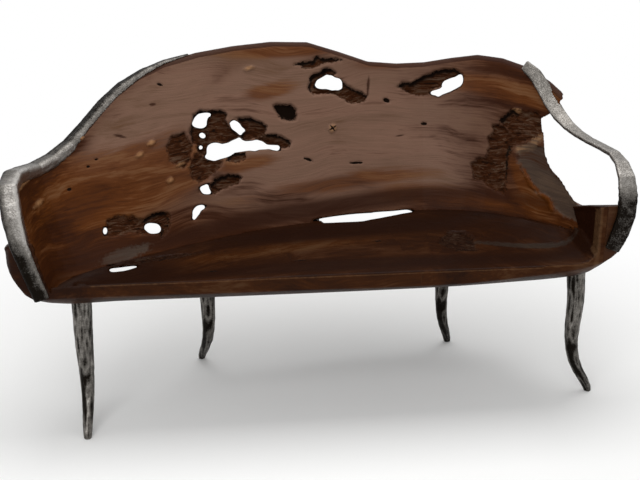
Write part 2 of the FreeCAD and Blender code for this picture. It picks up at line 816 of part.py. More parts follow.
def leg_sockets():
    """Flat-topped sockets that take the legs."""
    sockets = []
    for row in leg_places_shares:
        top = leg_top(row)
        start = Vector(top.x, top.y, top.z / 2)
        length = top.z + seat_gap - start.z
        sockets.append(cylinder(start, Vector(0, 0, 1), length, leg_diameter + 2 * fit_gap))
    return sockets


def lag_holes():
    """Clearance holes, and counterbores that open in the belly, for the lag screws."""
    up = Vector(0, 0, 1)
    holes = []
    for number in lag_stations:
        place = lag_place(number)
        bearing = place - up * (lag_grip - seat_gap)
        holes.append(cylinder(bearing - up * belly_thickness, up, belly_thickness, counterbore_diameter))
        length = lag_grip + lag_in_back + fit_gap
        holes.append(cylinder(bearing, up, length, lag_diameter + 2 * fit_gap))
    return holes


def build():
    """Every piece by the name of its node."""
    bite = bite_body(0)
    grown_shell = shell_body(fit_gap)
    splits = [seam_split(*row) for row in seam_split_shares]
    band_places = band_studs()
    strap_places = strap_studs()
    stud_holes = [stud_solid(place, fit_gap) for place in band_places + strap_places]
    lags = lag_holes()
    bolt_holes = [leg_bolt(row, fit_gap) for row in leg_places_shares]
    insert_holes = [leg_insert(row, fit_gap) for row in leg_places_shares]

    pieces = {}
    natural_holes = [natural_hole(row) for row in natural_hole_shares]
    pieces["backrest"] = make_backrest(bite, natural_holes, splits, stud_holes + lags)
    pieces["seat"] = make_seat(
        grown_shell, splits, leg_sockets() + insert_holes + bolt_holes + lags + stud_holes
    )

    band = bar_body(band_rows()).cut(grown_shell).cut(left_wall_room())
    for hole in stud_holes:
        band = band.cut(hole)
    pieces["left_arm_band"] = largest_solid(band)
    strap = bar_body(strap_rows()).cut(grown_shell.cut(bite_body(fit_gap)))
    for hole in stud_holes:
        strap = strap.cut(hole)
    pieces["right_arm"] = largest_solid(strap)

    for row, bolt_hole in zip(leg_places_shares, bolt_holes):
        pieces[row[0]] = leg_body(row).cut(bolt_hole)
    pieces["leg_bolts"] = Part.makeCompound([leg_bolt(row) for row in leg_places_shares])
    pieces["leg_inserts"] = Part.makeCompound([leg_insert(row) for row in leg_places_shares])
    pieces["back_lag_screws"] = Part.makeCompound([lag_solid(number) for number in lag_stations])
    pieces["left_arm_studs"] = Part.makeCompound([stud_solid(place) for place in band_places])
    pieces["right_arm_studs"] = Part.makeCompound([stud_solid(place) for place in strap_places])
    return pieces


def export(pieces):
    """Puts the origin on the floor under the middle of the bench and writes each piece."""
    whole = Part.makeCompound(list(pieces.values())).optimalBoundingBox(False)
    shift = Vector(-whole.Center.x, -whole.Center.y, -whole.ZMin)
    print("shift", round(shift.x, 3), round(shift.y, 3), round(shift.z, 3))
    print("size", round(whole.XLength, 1), round(whole.YLength, 1), round(whole.ZLength, 1))
    for name, shape in pieces.items():
        shape.translate(shift)
        shape.exportStep("parts/" + name + ".step")
        print(name, len(shape.Solids), "solids", round(shape.Volume / 1000), "cc", shape.isValid())


export(build())
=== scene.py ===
"""A live edge bench: a seat and a back of hollowed log wood on cast aluminium legs and arms.

The frame holds the solids. The operators below dress them: the wood is sculpted from the
solids' own surfaces, and each cast piece gets the hammered skin of a sand casting.
Lengths are metres, and the bench stands on the floor with its length along X.
"""

import math

import bmesh
import bpy
import numpy as np
from bpy.props import FloatProperty, FloatVectorProperty, PointerProperty
from mathutils import Matrix, Vector, noise
from mathutils.bvhtree import BVHTree


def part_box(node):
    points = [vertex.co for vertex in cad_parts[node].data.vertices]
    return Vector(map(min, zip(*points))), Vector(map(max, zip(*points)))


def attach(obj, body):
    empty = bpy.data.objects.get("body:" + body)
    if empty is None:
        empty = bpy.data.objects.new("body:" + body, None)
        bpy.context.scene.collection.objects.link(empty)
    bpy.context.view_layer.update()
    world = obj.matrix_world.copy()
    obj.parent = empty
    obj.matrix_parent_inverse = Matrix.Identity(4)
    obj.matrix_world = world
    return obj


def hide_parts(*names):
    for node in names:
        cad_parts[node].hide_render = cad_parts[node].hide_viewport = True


bl_info = {
    "name": "Live edge bench",
    "version": (1, 0, 0),
    "blender": (4, 5, 0),
    "location": "3D View > Sidebar > Bench",
    "description": "Builds a live edge bench of hollowed log wood with cast metal legs and arms",
    "category": "Object",
}

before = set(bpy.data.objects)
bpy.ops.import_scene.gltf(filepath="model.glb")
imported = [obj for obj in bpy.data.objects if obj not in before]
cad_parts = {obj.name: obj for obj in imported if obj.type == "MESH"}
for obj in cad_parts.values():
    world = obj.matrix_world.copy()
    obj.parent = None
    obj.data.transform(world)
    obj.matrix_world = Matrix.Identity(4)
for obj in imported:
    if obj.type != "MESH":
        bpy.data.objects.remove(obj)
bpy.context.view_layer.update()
MILLIMETRE = 0.001

# Where the viewer stands, and the upright plane on which the outlines of the holes are given.
VIEW_PLACE = (-0.316667, -2.790206, 1.375)
HOLE_PLANE = 0.15
# The planes between which a hole is worn, and the depths in the wall between which a plug fills.
CUT_PLANES = (-0.4, 0.5)
PLUG_DEPTHS = (0.004, 0.036)
# Points of a solid's mesh that are closer than this are one point.
MERGE_REACH = 0.01 * MILLIMETRE


def linear(hex_colour):
    """Turn an sRGB hex colour into the linear red, green, blue and alpha that Blender mixes."""
    channels = [int(hex_colour[at : at + 2], 16) / 255 for at in (1, 3, 5)]
    curved = [c / 12.92 if c <= 0.04045 else ((c + 0.055) / 1.055) ** 2.4 for c in channels]
    return (*curved, 1.0)


def colour_property(name, description, hex_colour):
    """A colour the user can change in the panel."""
    return FloatVectorProperty(
        name=name,
        description=description,
        subtype="COLOR",
        size=4,
        min=0.0,
        max=1.0,
        default=linear(hex_colour),
    )


def length_property(name, description, millimetres):
    """A length the user can change in the panel, written here in millimetres."""
    return FloatProperty(
        name=name,
        description=description,
        subtype="DISTANCE",
        unit="LENGTH",
        min=0.0,
        default=millimetres * MILLIMETRE,
    )


class BENCH_PG_wood(bpy.types.PropertyGroup):
    """Sizes and colours of the two wooden pieces"""

    back_spacing: length_property("Back spacing", "Distance between points of the sculpted back", 4.3)
    seat_spacing: length_property("Seat spacing", "Distance between points of the sculpted seat", 5)
    wave_height: length_property("Surface waves", "How far the worn wood rises and falls", 2.4)
    patch_groove: length_property("Patch grooves", "Depth of the wavy grooves in the rough patches", 7)
    far_side_share: FloatProperty(
        name="Far side share",
        description="Share of the back's faces kept when its unseen rear side is thinned out",
        subtype="FACTOR",
        min=0.1,
        max=1.0,
        default=0.6,
    )
    joint_press: length_property("Joint press", "How far the back's foot is bedded in the seat", 8)
    streak_width: length_property("Streak width", "Width of the fine streaks of the grain", 6)
    cloud_height: length_property("Band height", "Height of the broad darker and paler bands", 60)
    fibre_width: length_property("Fibre width", "Width of the fibres in the rough patches", 5)
    seat_shade: FloatProperty(
        name="Seat shade",
        description="How much of the back's brightness the darker, more worn seat keeps",
        subtype="FACTOR",
        min=0.0,
        max=1.0,
        default=0.42,
    )
    heart: colour_property("Heartwood", "Main brown of the varnished heartwood", "#371a08")
    # The darkest layer of marks uses this brown for dark knots and cracks, and also for painted shade.
    dark_heart: colour_property("Dark heartwood", "Darkest bands of the heartwood", "#2a1206")
    honey: colour_property("Honey wood", "Orange-brown wood between the dark bands", "#562d0d")
    # This grey-brown mostly paints the sheen of the varnish, a reflection of the light, over the
    # heartwood.
    haze: colour_property("Grey haze", "Grey-brown of the paler heartwood", "#775a4b")
    # This pale wood also paints highlights on the nubs and along the edges of the seat.
    sapwood: colour_property("Sapwood", "Pale wood on knots, nubs and edges", "#9c7450")
    facet: colour_property("Facets", "Smooth grey-brown wood along the bite in the back", "#41342c")
    weathered: colour_property("Weathered wood", "Grey-brown of the rough fibrous patches", "#584638")
    # On the upper side of each recess this colour is painted shade.
    hollow: colour_property("Hollows", "Blackened wood inside pits, cracks and recesses", "#140b06")


class BENCH_PG_metal(bpy.types.PropertyGroup):
    """Sizes and colours of the cast pieces and the fasteners"""

    spacing: length_property("Mesh spacing", "Distance between points of the cast skin", 2.2)
    hammer_size: length_property("Hammer mark size", "Width of the shallow hammer marks", 14)
    hammer_depth: length_property("Hammer mark depth", "Depth of the shallow hammer marks", 0.7)
    groove_size: length_property("Bark groove width", "Width of the lengthwise grooves of the legs", 9)
    groove_depth: length_property("Bark groove depth", "Depth of the lengthwise grooves of the legs", 2.4)
    pit_size: length_property("Casting pit size", "Width of the fine pits that the sand leaves", 3.2)
    bright: colour_property("Bright metal", "Rubbed aluminium on the raised places", "#b0aca7")
    pewter: colour_property("Pewter grey", "Half-rubbed stain on the sides of the casting", "#74706b")
    patina: colour_property("Patina", "Dark finish left in the hollows of the casting", "#17130f")
    zinc: colour_property("Zinc plating", "Blue-grey plating of the steel fasteners", "#b3b5b6")
    dull_zinc: colour_property("Dull zinc", "Duller clouds in the plating", "#8e9294")


class BENCH_PG_stage(bpy.types.PropertyGroup):
    """Camera, floor and light"""

    camera_place: FloatVectorProperty(
        name="Camera place",
        description="Where the camera stands",
        subtype="XYZ",
        unit="LENGTH",
        default=VIEW_PLACE,
    )
    camera_pitch: FloatProperty(
        name="Camera pitch",
        description="How far the camera looks down",
        subtype="ANGLE",
        default=math.radians(18.26),
    )
    camera_turn: FloatProperty(
        name="Camera turn",
        description="How far the camera turns to the right",
        subtype="ANGLE",
        default=math.radians(6.8),
    )
    camera_lens: FloatProperty(
        name="Lens",
        description="Focal length on a 36 mm wide frame, in millimetres",
        default=56.25,
    )
    floor: colour_property("Floor", "Pale studio floor", "#f6f6f5")
    key_power: FloatProperty(
        name="Key lamp", description="Power of the large lamp at the left", subtype="POWER", default=48
    )
    top_power: FloatProperty(
        name="Top lamp", description="Power of the large lamp above", subtype="POWER", default=50
    )


# Where the inner face of the log's wall runs at its foot, seen from above, in millimetres.
# The grain follows this line round both ends.
WALL_LINE = (
    (-724, -316), (-708, -235), (-657, -165), (-572, -105), (-466, -45), (-346, 18), (-166, 95),
    (34, 138), (214, 168), (364, 172), (484, 132), (589, 60), (674, -40), (722, -140), (736, -225),
)

# Middle lines of the cast arms, in millimetres
BAND_LINE = (
    (-743, -326, 470), (-757, -326, 540), (-777, -326, 600), (-789, -325, 660), (-791, -318, 715),
    (-788, -215, 726), (-765, -105, 712), (-690, 0, 752), (-570, 88, 868), (-430, 165, 935),
    (-220, 240, 972),
)
STRAP_LINE = (
    (671, 155, 930), (690, 105, 892), (704, 57, 845), (720, 15, 807), (734, -10, 792), (745, -70, 772),
    (767, -135, 757), (787, -190, 749), (800, -235, 742), (801, -280, 728), (801, -315, 706),
    (803, -335, 678), (806, -338, 607), (795, -338, 550), (773, -338, 500),
)

# Small marks on the inner face of the back, in millimetres and degrees:
# kind, place along X, height, half width, half height, turn, depth.
BACK_SPOTS = (
    ("pit", 260, 807, 11, 6, -25, 9),
    ("pit", 376, 735, 9, 5, 0, 5),
    ("dark_marks_and_shade", 202, 849, 3, 24, -6, 2),
    ("pit", 155, 625, 26, 3.4, -3, 3),
    ("pit", 4, 645, 15, 4, -22, 3),
    ("dark_marks_and_shade", 300, 700, 12, 2, 10, 1),
    ("pit", -436, 894, 10, 4, -25, 4),
    ("dark_marks_and_shade", -552, 762, 12, 2.5, -18, 2),
    ("dark_marks_and_shade", -458, 840, 6, 2.5, 0, 1),
    ("pit", -640, 690, 5, 3, 0, 3),
    ("pit", -618, 706, 6, 3, 0, 3),
    ("pit", -690, 640, 6, 4, 0, 3),
    ("grey", -545, 453, 62, 17, 6, 1),
    ("ridge", 648, 620, 7, 26, 24, -4),
    ("ridge", 668, 582, 7, 24, 40, -4),
    ("ridge", 688, 564, 7, 18, 60, -5),
    ("ridge", 698, 548, 6, 18, 0, -4),
    # Pale nubs, raised, with painted highlights on their tips
    ("nubs_and_highlights", -466, 735, 12, 8, 20, -5),
    ("nubs_and_highlights", -498, 707, 13, 8, 25, -5),
    ("nubs_and_highlights", -385, 667, 15, 6, 12, -5),
    ("nubs_and_highlights", -416, 627, 14, 9, 20, -6),
    ("nubs_and_highlights", -686, 743, 13, 8, 38, -5),
    ("nubs_and_highlights", -655, 768, 9, 7, 0, -5),
    ("nubs_and_highlights", -756, 636, 10, 9, 0, -5),
    ("nubs_and_highlights", -778, 706, 9, 8, 0, -5),
    ("nubs_and_highlights", -172, 922, 18, 7, 14, -4),
    ("nubs_and_highlights", 84, 733, 13, 14, 0, -5),
    ("nubs_and_highlights", 633, 796, 13, 9, -10, -5),
    ("pit", 84, 733, 17, 2.4, 28, 3),
    ("pit", 84, 733, 16, 2.4, -52, 3),
    ("honey", -500, 668, 170, 34, 12, 0),
    ("honey", -470, 618, 160, 40, 10, 0),
    ("honey", -640, 640, 90, 60, 20, 0),
    ("honey", -590, 570, 90, 30, 10, 0),
    ("honey", -560, 690, 120, 24, 22, 0),
    ("honey", -200, 645, 70, 14, 6, 0),
    ("honey", -60, 966, 120, 12, 0, 0),
    ("honey", -120, 850, 60, 16, 10, 0),
    ("honey", 300, 930, 90, 16, 6, 0),
    ("honey", 640, 590, 12, 60, 20, 0),
    ("honey", 660, 540, 40, 22, 20, 0),
    ("honey", 440, 520, 160, 22, -4, 0),
    ("honey", 100, 570, 200, 18, 4, 0),
    # Painted sheen: broad paler grey-brown where the varnish reflects the light
    ("haze", 40, 740, 370, 170, 0, 0),
    ("haze", -200, 850, 200, 60, 20, 0),
    ("haze", -430, 830, 170, 80, 34, 0),
    ("haze", -560, 755, 90, 40, 34, 0),
    ("haze", 310, 640, 170, 90, 0, 0),
    ("haze", 60, 590, 260, 30, 6, 0),
    ("haze", 120, 625, 250, 50, 4, 0),
    ("haze", 220, 760, 150, 90, 0, 0),
    # Painted shade along the foot of the back, where it meets the seat
    ("dark_marks_and_shade", 0, 498, 500, 18, 4, 0),
    ("haze", 120, 700, 200, 70, 0, 0),
    ("haze", 70, 605, 230, 60, 3, 0),
    ("honey", 590, 850, 110, 24, -10, 0),
)

# Patches on the inner face of the back: kind, depth and outline along X and upwards, in
# millimetres.
BACK_PATCHES = (
    ("recess", 19, (
        (-346, 780), (-340, 800), (-320, 810), (-283, 806), (-254, 803), (-243, 792), (-248, 778),
        (-236, 755), (-208, 729), (-227, 715), (-257, 708), (-277, 719), (-302, 711), (-307, 690),
        (-315, 679), (-332, 694), (-336, 715), (-350, 726), (-352, 754),
    )),
    ("recess", 20, (
        (-222, 778), (-199, 780), (-169, 776), (-142, 764), (-124, 750), (-122, 740), (-128, 726),
        (-154, 716), (-196, 713), (-203, 726), (-195, 740), (-200, 762), (-212, 775),
    )),
    ("recess", 17, (
        (-154, 718), (-123, 728), (-110, 727), (-84, 721), (-49, 697), (-54, 687), (-83, 681),
        (-126, 699),
    )),
    ("pit", 26, (
        (-104, 809), (-94, 812), (-68, 810), (-45, 808), (-33, 797), (-29, 779), (-35, 764),
        (-59, 764), (-77, 771), (-87, 786), (-99, 799),
    )),
    ("recess", 9, (
        (-239, 677), (-213, 682), (-191, 680), (-189, 663), (-214, 651), (-249, 660),
    )),
    ("rough", 9, (
        (-352, 671), (-344, 688), (-330, 694), (-315, 676), (-306, 668), (-282, 663), (-259, 663),
        (-270, 643), (-283, 635), (-308, 619), (-333, 608), (-352, 622), (-361, 649),
    )),
    ("recess", 16, (
        (-303, 600), (-286, 612), (-251, 623), (-216, 618), (-206, 608), (-217, 592), (-242, 586),
        (-272, 580), (-288, 570), (-297, 578),
    )),
    ("recess", 11, (
        (-32, 926), (1, 934), (27, 938), (39, 950), (54, 943), (81, 943), (120, 936), (100, 930),
        (66, 926), (27, 913), (-4, 913), (-15, 924),
    )),
    ("recess", 16, (
        (10, 855), (15, 887), (34, 897), (61, 912), (84, 911), (98, 897), (88, 887), (116, 870),
        (126, 860), (153, 847), (180, 835), (198, 822), (191, 809), (152, 800), (132, 807),
        (98, 832), (79, 837), (55, 838), (28, 836), (13, 844),
    )),
    ("recess", 18, (
        (295, 848), (309, 859), (339, 859), (385, 881), (414, 895), (471, 904), (488, 895),
        (498, 883), (446, 874), (431, 851), (399, 836), (395, 821), (361, 820), (324, 831),
        (305, 843),
    )),
    ("rough", 9, (
        (508, 619), (530, 642), (552, 645), (561, 688), (558, 704), (577, 731), (570, 743),
        (600, 750), (630, 712), (624, 690), (607, 653), (606, 629), (601, 595), (592, 549),
        (564, 561), (539, 577), (516, 579), (513, 603),
    )),
    ("rough", 8, (
        (592, 754), (621, 795), (643, 802), (651, 791), (679, 801), (691, 779), (690, 743),
        (665, 717), (635, 699), (622, 713), (606, 743),
    )),
    ("recess", 12, (
        (588, 760), (621, 795), (640, 786), (626, 764), (606, 743),
    )),
    ("sap", 2, (
        (628, 690), (655, 707), (690, 739), (691, 728), (667, 690), (637, 663), (629, 674),
    )),
    ("pit", 5, (
        (605, 671), (613, 688), (617, 688), (612, 664), (606, 628), (602, 583), (600, 560), (600, 591),
    )),
    ("grey", 6, (
        (633, 677), (661, 694), (693, 708), (697, 675), (707, 636), (727, 612), (742, 585),
        (780, 553), (751, 537), (731, 529), (716, 527), (701, 543), (693, 570), (669, 569),
        (658, 600), (641, 626), (630, 654),
    )),
    ("rough", 7, (
        (-596, 546), (-574, 551), (-530, 547), (-496, 532), (-450, 544), (-422, 537), (-420, 509),
        (-435, 485), (-498, 495), (-531, 505), (-575, 502), (-598, 506),
    )),
    ("recess", 11, (
        (-479, 543), (-439, 542), (-422, 520), (-426, 494), (-447, 481), (-446, 508), (-497, 527),
    )),
    ("rough", 7, (
        (-408, 747), (-372, 755), (-350, 718), (-358, 673), (-376, 653), (-416, 680), (-421, 720),
    )),
)

# Small marks on the upper face of the seat, in millimetres and degrees:
# kind, place along X, place along Y, half width, half depth, turn, depth.
SEAT_SPOTS = (
    ("rough", -450, -70, 90, 12, 14, 2),
    ("grey", 600, -140, 140, 17, -22, 1),
    ("pit", -60, -180, 20, 4, 4, 2),
    ("pit", 180, -40, 16, 4, -8, 2),
    ("pit", -300, -210, 14, 4, 6, 2),
    ("honey", -120, -60, 260, 30, 8, 0),
    # Darker patches on the seat; the one along Y 60, at the foot of the back, is painted shade
    ("dark_marks_and_shade", -560, -200, 120, 90, 20, 0),
    ("dark_marks_and_shade", 100, 60, 300, 50, 4, 0),
    ("dark_marks_and_shade", 100, -240, 500, 40, 0, 0),
)

# Patches on the upper face of the seat: kind, depth and outline along X and Y, in millimetres.
SEAT_PATCHES = (
    ("rough", 7, (
        (367, -51), (407, 10), (452, 1), (467, -55), (448, -156), (397, -150), (377, -111),
        (361, -73),
    )),
)

# How near a point is to a mark where the mark's finish starts to show, and where it is full
SHARP_BORDERS = {
    "pit": (0.46, 0.56),
    "recess": (0.46, 0.54),
    "lit": (0.35, 0.75),
    "rough": (0.40, 0.58),
    "grey": (0.40, 0.60),
    "nubs_and_highlights": (0.45, 1.15),
    "ridge": (0.40, 0.80),
    "sap": (0.40, 0.60),
}
# The same for the stain, painted sheen and painted shade that fade out along the grain, and the share
# they cover
SOFT_BORDERS = {
    "honey": (0.85, 1.45, 0.80),
    "haze": (0.84, 1.44, 0.92),
    "dark_marks_and_shade": (0.85, 1.45, 0.85),
}
MARK_KINDS = (*SHARP_BORDERS, *SOFT_BORDERS)

# A spot's depth ends a little outside its oval, and falls off this steeply.
SPOT_EDGE = 1.12
SPOT_SLOPE = 3.2
# Widths in millimetres: the wall of a patch, the border over which its finish fades, the border
# of the lit part of a recess, and how far waves push an outline about
PATCH_WALL = 10
PATCH_FADE = 32
LIT_FADE = 16
OUTLINE_SWAY = 14
# The upper side of a recess lies in shade: the lit part is its outline moved this way.
LIT_SHIFT = (-4, 9)
# Waves that make the borders of the marks ragged: share, length in metres and seed
RAGGED_WAVES = ((0.22, 0.022, 11), (0.16, 0.05, 17), (0.2, 0.01, 13))

# Lengths of the waves in the worn wood along X, Y and Z, and how far the grooves sway, in metres
SWELL_LENGTH = (0.24, 0.07, 0.07)
SWAY_LENGTH = 0.05
SWAY_REACH = 0.016
GROOVE_LENGTH = (0.08, 0.05, 0.017)
CROSS_LENGTH = 0.016
# Grooves are this deep across the main ones, and on the floor of a recess, as shares
CROSS_SHARE = 0.5
FLOOR_SHARE = 0.6
# The middle of the back's hollow along X and Y in metres, and how fast marks fade where the back
# turns away from it and where the seat turns from level
MIDDLE_OF_HOLLOW = (0, -0.6)
BACK_FACING = 6
SEAT_FACING = 3

# Outlines of the natural holes, along X and upwards on the upright plane, in millimetres.
# Each hole is worn through along the viewer's lines of sight.
BACK_HOLES = (
    (
        (-344, 778), (-341, 791), (-328, 804), (-309, 807), (-287, 806), (-290, 798), (-300, 792),
        (-304, 780), (-304, 769), (-311, 762), (-325, 761), (-338, 766),
    ),
    ((-329, 740), (-325, 747), (-318, 748), (-309, 742), (-308, 733), (-314, 729), (-324, 732)),
    ((-332, 703), (-327, 710), (-321, 710), (-317, 703), (-320, 696), (-328, 695)),
    (
        (-234, 761), (-233, 775), (-229, 783), (-219, 782), (-207, 773), (-201, 763), (-198, 748),
        (-201, 737), (-206, 734), (-214, 744), (-226, 753),
    ),
    (
        (-316, 672), (-314, 677), (-307, 681), (-307, 695), (-304, 707), (-296, 713), (-285, 716),
        (-271, 715), (-261, 711), (-242, 715), (-231, 721), (-216, 727), (-208, 732), (-204, 729),
        (-202, 721), (-189, 718), (-170, 719), (-158, 722), (-141, 717), (-133, 711), (-126, 706),
        (-112, 703), (-97, 700), (-86, 692), (-85, 687), (-97, 686), (-114, 690), (-127, 696),
        (-139, 700), (-146, 695), (-154, 689), (-165, 687), (-177, 689), (-194, 690), (-209, 689),
        (-224, 684), (-234, 676), (-249, 670), (-266, 666), (-285, 660), (-304, 665),
    ),
    (
        (-335, 580), (-321, 585), (-304, 592), (-305, 580), (-301, 569), (-294, 558), (-308, 557),
        (-324, 559), (-329, 570),
    ),
    (
        (-361, 478), (-356, 491), (-357, 504), (-349, 517), (-338, 524), (-313, 523), (-318, 514),
        (-331, 506), (-337, 494), (-347, 486),
    ),
    (
        (-504, 461), (-500, 470), (-486, 473), (-465, 470), (-456, 462), (-453, 449), (-460, 440),
        (-472, 438), (-487, 447), (-501, 454),
    ),
    ((-627, 456), (-624, 466), (-615, 466), (-614, 455), (-617, 440), (-625, 438), (-628, 446)),
    (
        (14, 876), (18, 882), (22, 888), (21, 894), (29, 899), (39, 904), (47, 909), (60, 911),
        (70, 910), (79, 903), (89, 894), (98, 886), (101, 876), (102, 868), (85, 867), (71, 865),
        (56, 869), (43, 873), (35, 879), (29, 878), (21, 873), (17, 872),
    ),
    ((38, 915), (41, 926), (49, 930), (56, 929), (50, 921), (44, 912)),
    ((1, 899), (7, 909), (16, 914), (25, 915), (21, 908), (11, 902)),
    (
        (367, 852), (372, 857), (388, 861), (400, 865), (404, 870), (403, 876), (408, 886),
        (422, 892), (436, 897), (445, 898), (452, 905), (462, 904), (468, 896), (468, 882),
        (463, 872), (449, 864), (431, 855), (412, 848), (393, 843), (377, 845), (369, 847),
    ),
)

# Gaps along the seam, given in the same way; they are worn out of the back and the seat.
SEAM_HOLES = (
    (
        (34, 448), (38, 457), (52, 468), (85, 472), (122, 473), (164, 475), (183, 478), (203, 482),
        (223, 483), (262, 484), (302, 487), (326, 485), (332, 482), (335, 477), (329, 474), (305, 471),
        (277, 466), (248, 461), (220, 456), (192, 452), (172, 448), (147, 447), (108, 447), (66, 447),
    ),
    (
        (-624, 323), (-612, 331), (-583, 333), (-552, 336), (-516, 337), (-518, 330), (-546, 321),
        (-571, 315), (-602, 312), (-618, 313),
    ),
)

# Wood left standing at the edges of three holes, given in the same way
BACK_PLUGS = (
    ((-306, 795), (-284, 811), (-275, 779), (-291, 750), (-310, 755)),
    (
        (-337, 753), (-299, 752), (-304, 712), (-307, 695), (-305, 678), (-320, 670), (-329, 674),
        (-339, 713),
    ),
    ((-343, 597), (-284, 597), (-286, 547), (-345, 549)),
)

# The seat is thinnest over the front left insert, and gets a roof of wood there: middle along X,
# Y and Z, radius and thickness, in millimetres.
INSERT_ROOF = (-658, -223, 416, 12, 9)

# The seam under the back: a place along X and its height there in metres, and its slope
SEAM = (0.0333, 0.458, 0.0453)
# Where the wood stays split along the seam: ends along X, in metres
SPLIT_ENDS = ((-0.625, -0.51), (-0.03, 0.34))
# Width of the dark rim of a hole, in millimetres
RIM_WIDTH = 6
# The height from which the back's crest is darker, in metres
CREST_HEIGHT = 0.72

# Places on the seat in metres: the left end of the front lip, the back of the painted highlight on its
# edge, and the low wall at the right end with its front corner and its outer face
LIP_LEFT = -0.66
LIP_BACK = -0.28
END_WALL = 0.6
END_CORNER = (0.735, -0.29)
END_OUTER_FACE = 0.75

# Where the dark stain stays on the arms: share of the arm's length and strength of the stain
BAND_STAIN = ((0.0, 0.85), (0.1, 0.75), (0.2, 0.3), (0.4, 0.26), (0.55, 0.62), (1.0, 0.68))
STRAP_STAIN = ((0.0, 0.5), (0.3, 0.42), (0.6, 0.42), (0.78, 0.3), (0.83, 0.85), (1.0, 0.85))
# Raised rings round the strap: places and width as shares of its length, height in hammer depths
STRAP_RINGS = (0.79, 0.81, 0.83)
RING_WIDTH = 0.006
RING_HEIGHT = 1.4
# Large marks, small marks and even sinking of the hammered skin, as shares of its depth
HAMMER_SHARES = (0.8, 0.4, 0.6)
# The metal is darker from this distance to the arm's middle line on, in metres.
ARM_EDGE = 0.019
ARM_EDGE_FADE = 0.008
# How far the edge, each layer of hammer marks and the painted shade and highlight of the sides change the
# stain
ARM_STAIN_SHARES = (0.2, 0.08, 0.5)

# Strength of the stain on each leg
LEG_STAINS = {
    "front_left_leg": 0.92,
    "front_right_leg": 1.0,
    "rear_left_leg": 1.0,
    "rear_right_leg": 1.1,
}
# How many levels a leg's middle is found at
LEG_LEVELS = 24
# Heights shrink to this share before the bark is laid on, which draws it out along the leg.
BARK_STRETCH = 0.14
# Ridges, broad folds and knobs of the bark, as shares of its depth and of the stain, and how far
# the whole skin sinks
BARK_RELIEF = (0.5, 0.3, 0.25)
BARK_STAIN = (0.5, 0.25, 0.15)
BARK_SINK = 0.1

FASTENER_NODES = ("leg_bolts", "leg_inserts", "back_lag_screws", "left_arm_studs", "right_arm_studs")

# The lamps: place in metres, turn in degrees, width and height in metres
KEY_LAMP = ((-1.0, -2.8, 2.6), (50, 0, -20), 2.2, 1.8)
TOP_LAMP = ((0.3, 0.2, 3.2), (0, 0, 0), 3.0, 2.0)
# The studio floor: half its size, and where it fades to white, in metres from the middle
FLOOR_REACH = 14.0
FLOOR_FADE = (0.8, 1.9)
# How strongly the background lights the bench, as a share of the plain white that it shows
BACKGROUND_LIGHT = 0.55
# The camera: width of its picture in millimetres, and how far it sees in metres
FRAME_WIDTH = 36.0
CAMERA_REACH = 60.0


def add_node(tree, kind, inputs=None, stops=None, **settings):
    """Add one node, set its settings, and feed its inputs from values, sockets or other nodes."""
    made = tree.nodes.new(kind)
    for name, value in settings.items():
        setattr(made, name, value)
    for at, (place, colour) in enumerate(stops or ()):
        ramp = made.color_ramp.elements
        stop = ramp[at] if at < 2 else ramp.new(place)
        stop.position = place
        stop.color = colour
    for socket, value in (inputs or {}).items():
        if isinstance(value, bpy.types.Node):
            first = next(output for output in value.outputs if output.enabled)
            tree.links.new(first, made.inputs[socket])
        elif isinstance(value, bpy.types.NodeSocket):
            tree.links.new(value, made.inputs[socket])
        else:
            made.inputs[socket].default_value = value
    return made


def new_material(name):
    """An empty material with its tree."""
    material = bpy.data.materials.new(name)
    material.use_nodes = True
    material.node_tree.nodes.clear()
    return material, material.node_tree


def finish_material(tree, shader):
    """Lead a shader to the surface of its material."""
    add_node(tree, "ShaderNodeOutputMaterial", {"Surface": shader})


def stretched_noise(tree, place, lengths, detail, roughness, distortion=0.0):
    """Noise whose lumps have these lengths along the log, upwards and into the wall, in metres."""
    scale = tuple(1 / length for length in lengths)
    scaled = add_node(tree, "ShaderNodeMapping", {"Vector": place, "Scale": scale})
    return add_node(
        tree,
        "ShaderNodeTexNoise",
        {
            "Vector": scaled,
            "Scale": 1.0,
            "Detail": detail,
            "Roughness": roughness,
            "Distortion": distortion,
        },
    )


def wood_patterns(tree, grain, wood):
    """Bands mixed with streaks, the streaks, the crumble, and speckle for the borders of marks."""
    # The grain wanders up and down by a few centimetres over half a metre.
    wander = add_node(tree, "ShaderNodeTexNoise", {"Vector": grain, "Scale": 2.2, "Detail": 2.0})
    bent = add_node(
        tree,
        "ShaderNodeVectorMath",
        {0: wander.outputs["Color"], 1: (0.05, 0.17, 0.05), 2: grain},
        operation="MULTIPLY_ADD",
    )
    # Broad bands are as high as their property says and five times as long.
    height = wood.cloud_height
    bands = stretched_noise(tree, bent, (5 * height, height, 2 * height), 4.0, 0.58, 0.5)
    # One streak is as wide as its property says and thirty times as long.
    width = wood.streak_width
    streaks = stretched_noise(tree, bent, (30 * width, width, 2 * width), 4.0, 0.6)
    # Decayed wood breaks into ridged fibres. Real ones are under a millimetre wide; these are
    # drawn as wide as their property says so that they show.
    width = wood.fibre_width
    crumble = stretched_noise(tree, bent, (9 * width, 1.8 * width, 2 * width), 5.0, 0.66, 1.2)
    # Speckle that makes the borders of the marks ragged, 9 mm and finer.
    speckle = add_node(
        tree,
        "ShaderNodeTexNoise",
        {"Vector": grain, "Scale": 110.0, "Detail": 4.0, "Roughness": 0.6},
    )
    ragged = add_node(tree, "ShaderNodeMapRange", {"Value": speckle, "To Min": -0.3, "To Max": 0.3})
    mixed = add_node(tree, "ShaderNodeMix", {"Factor": 0.3, 2: bands, 3: streaks})
    return mixed, streaks, crumble, ragged


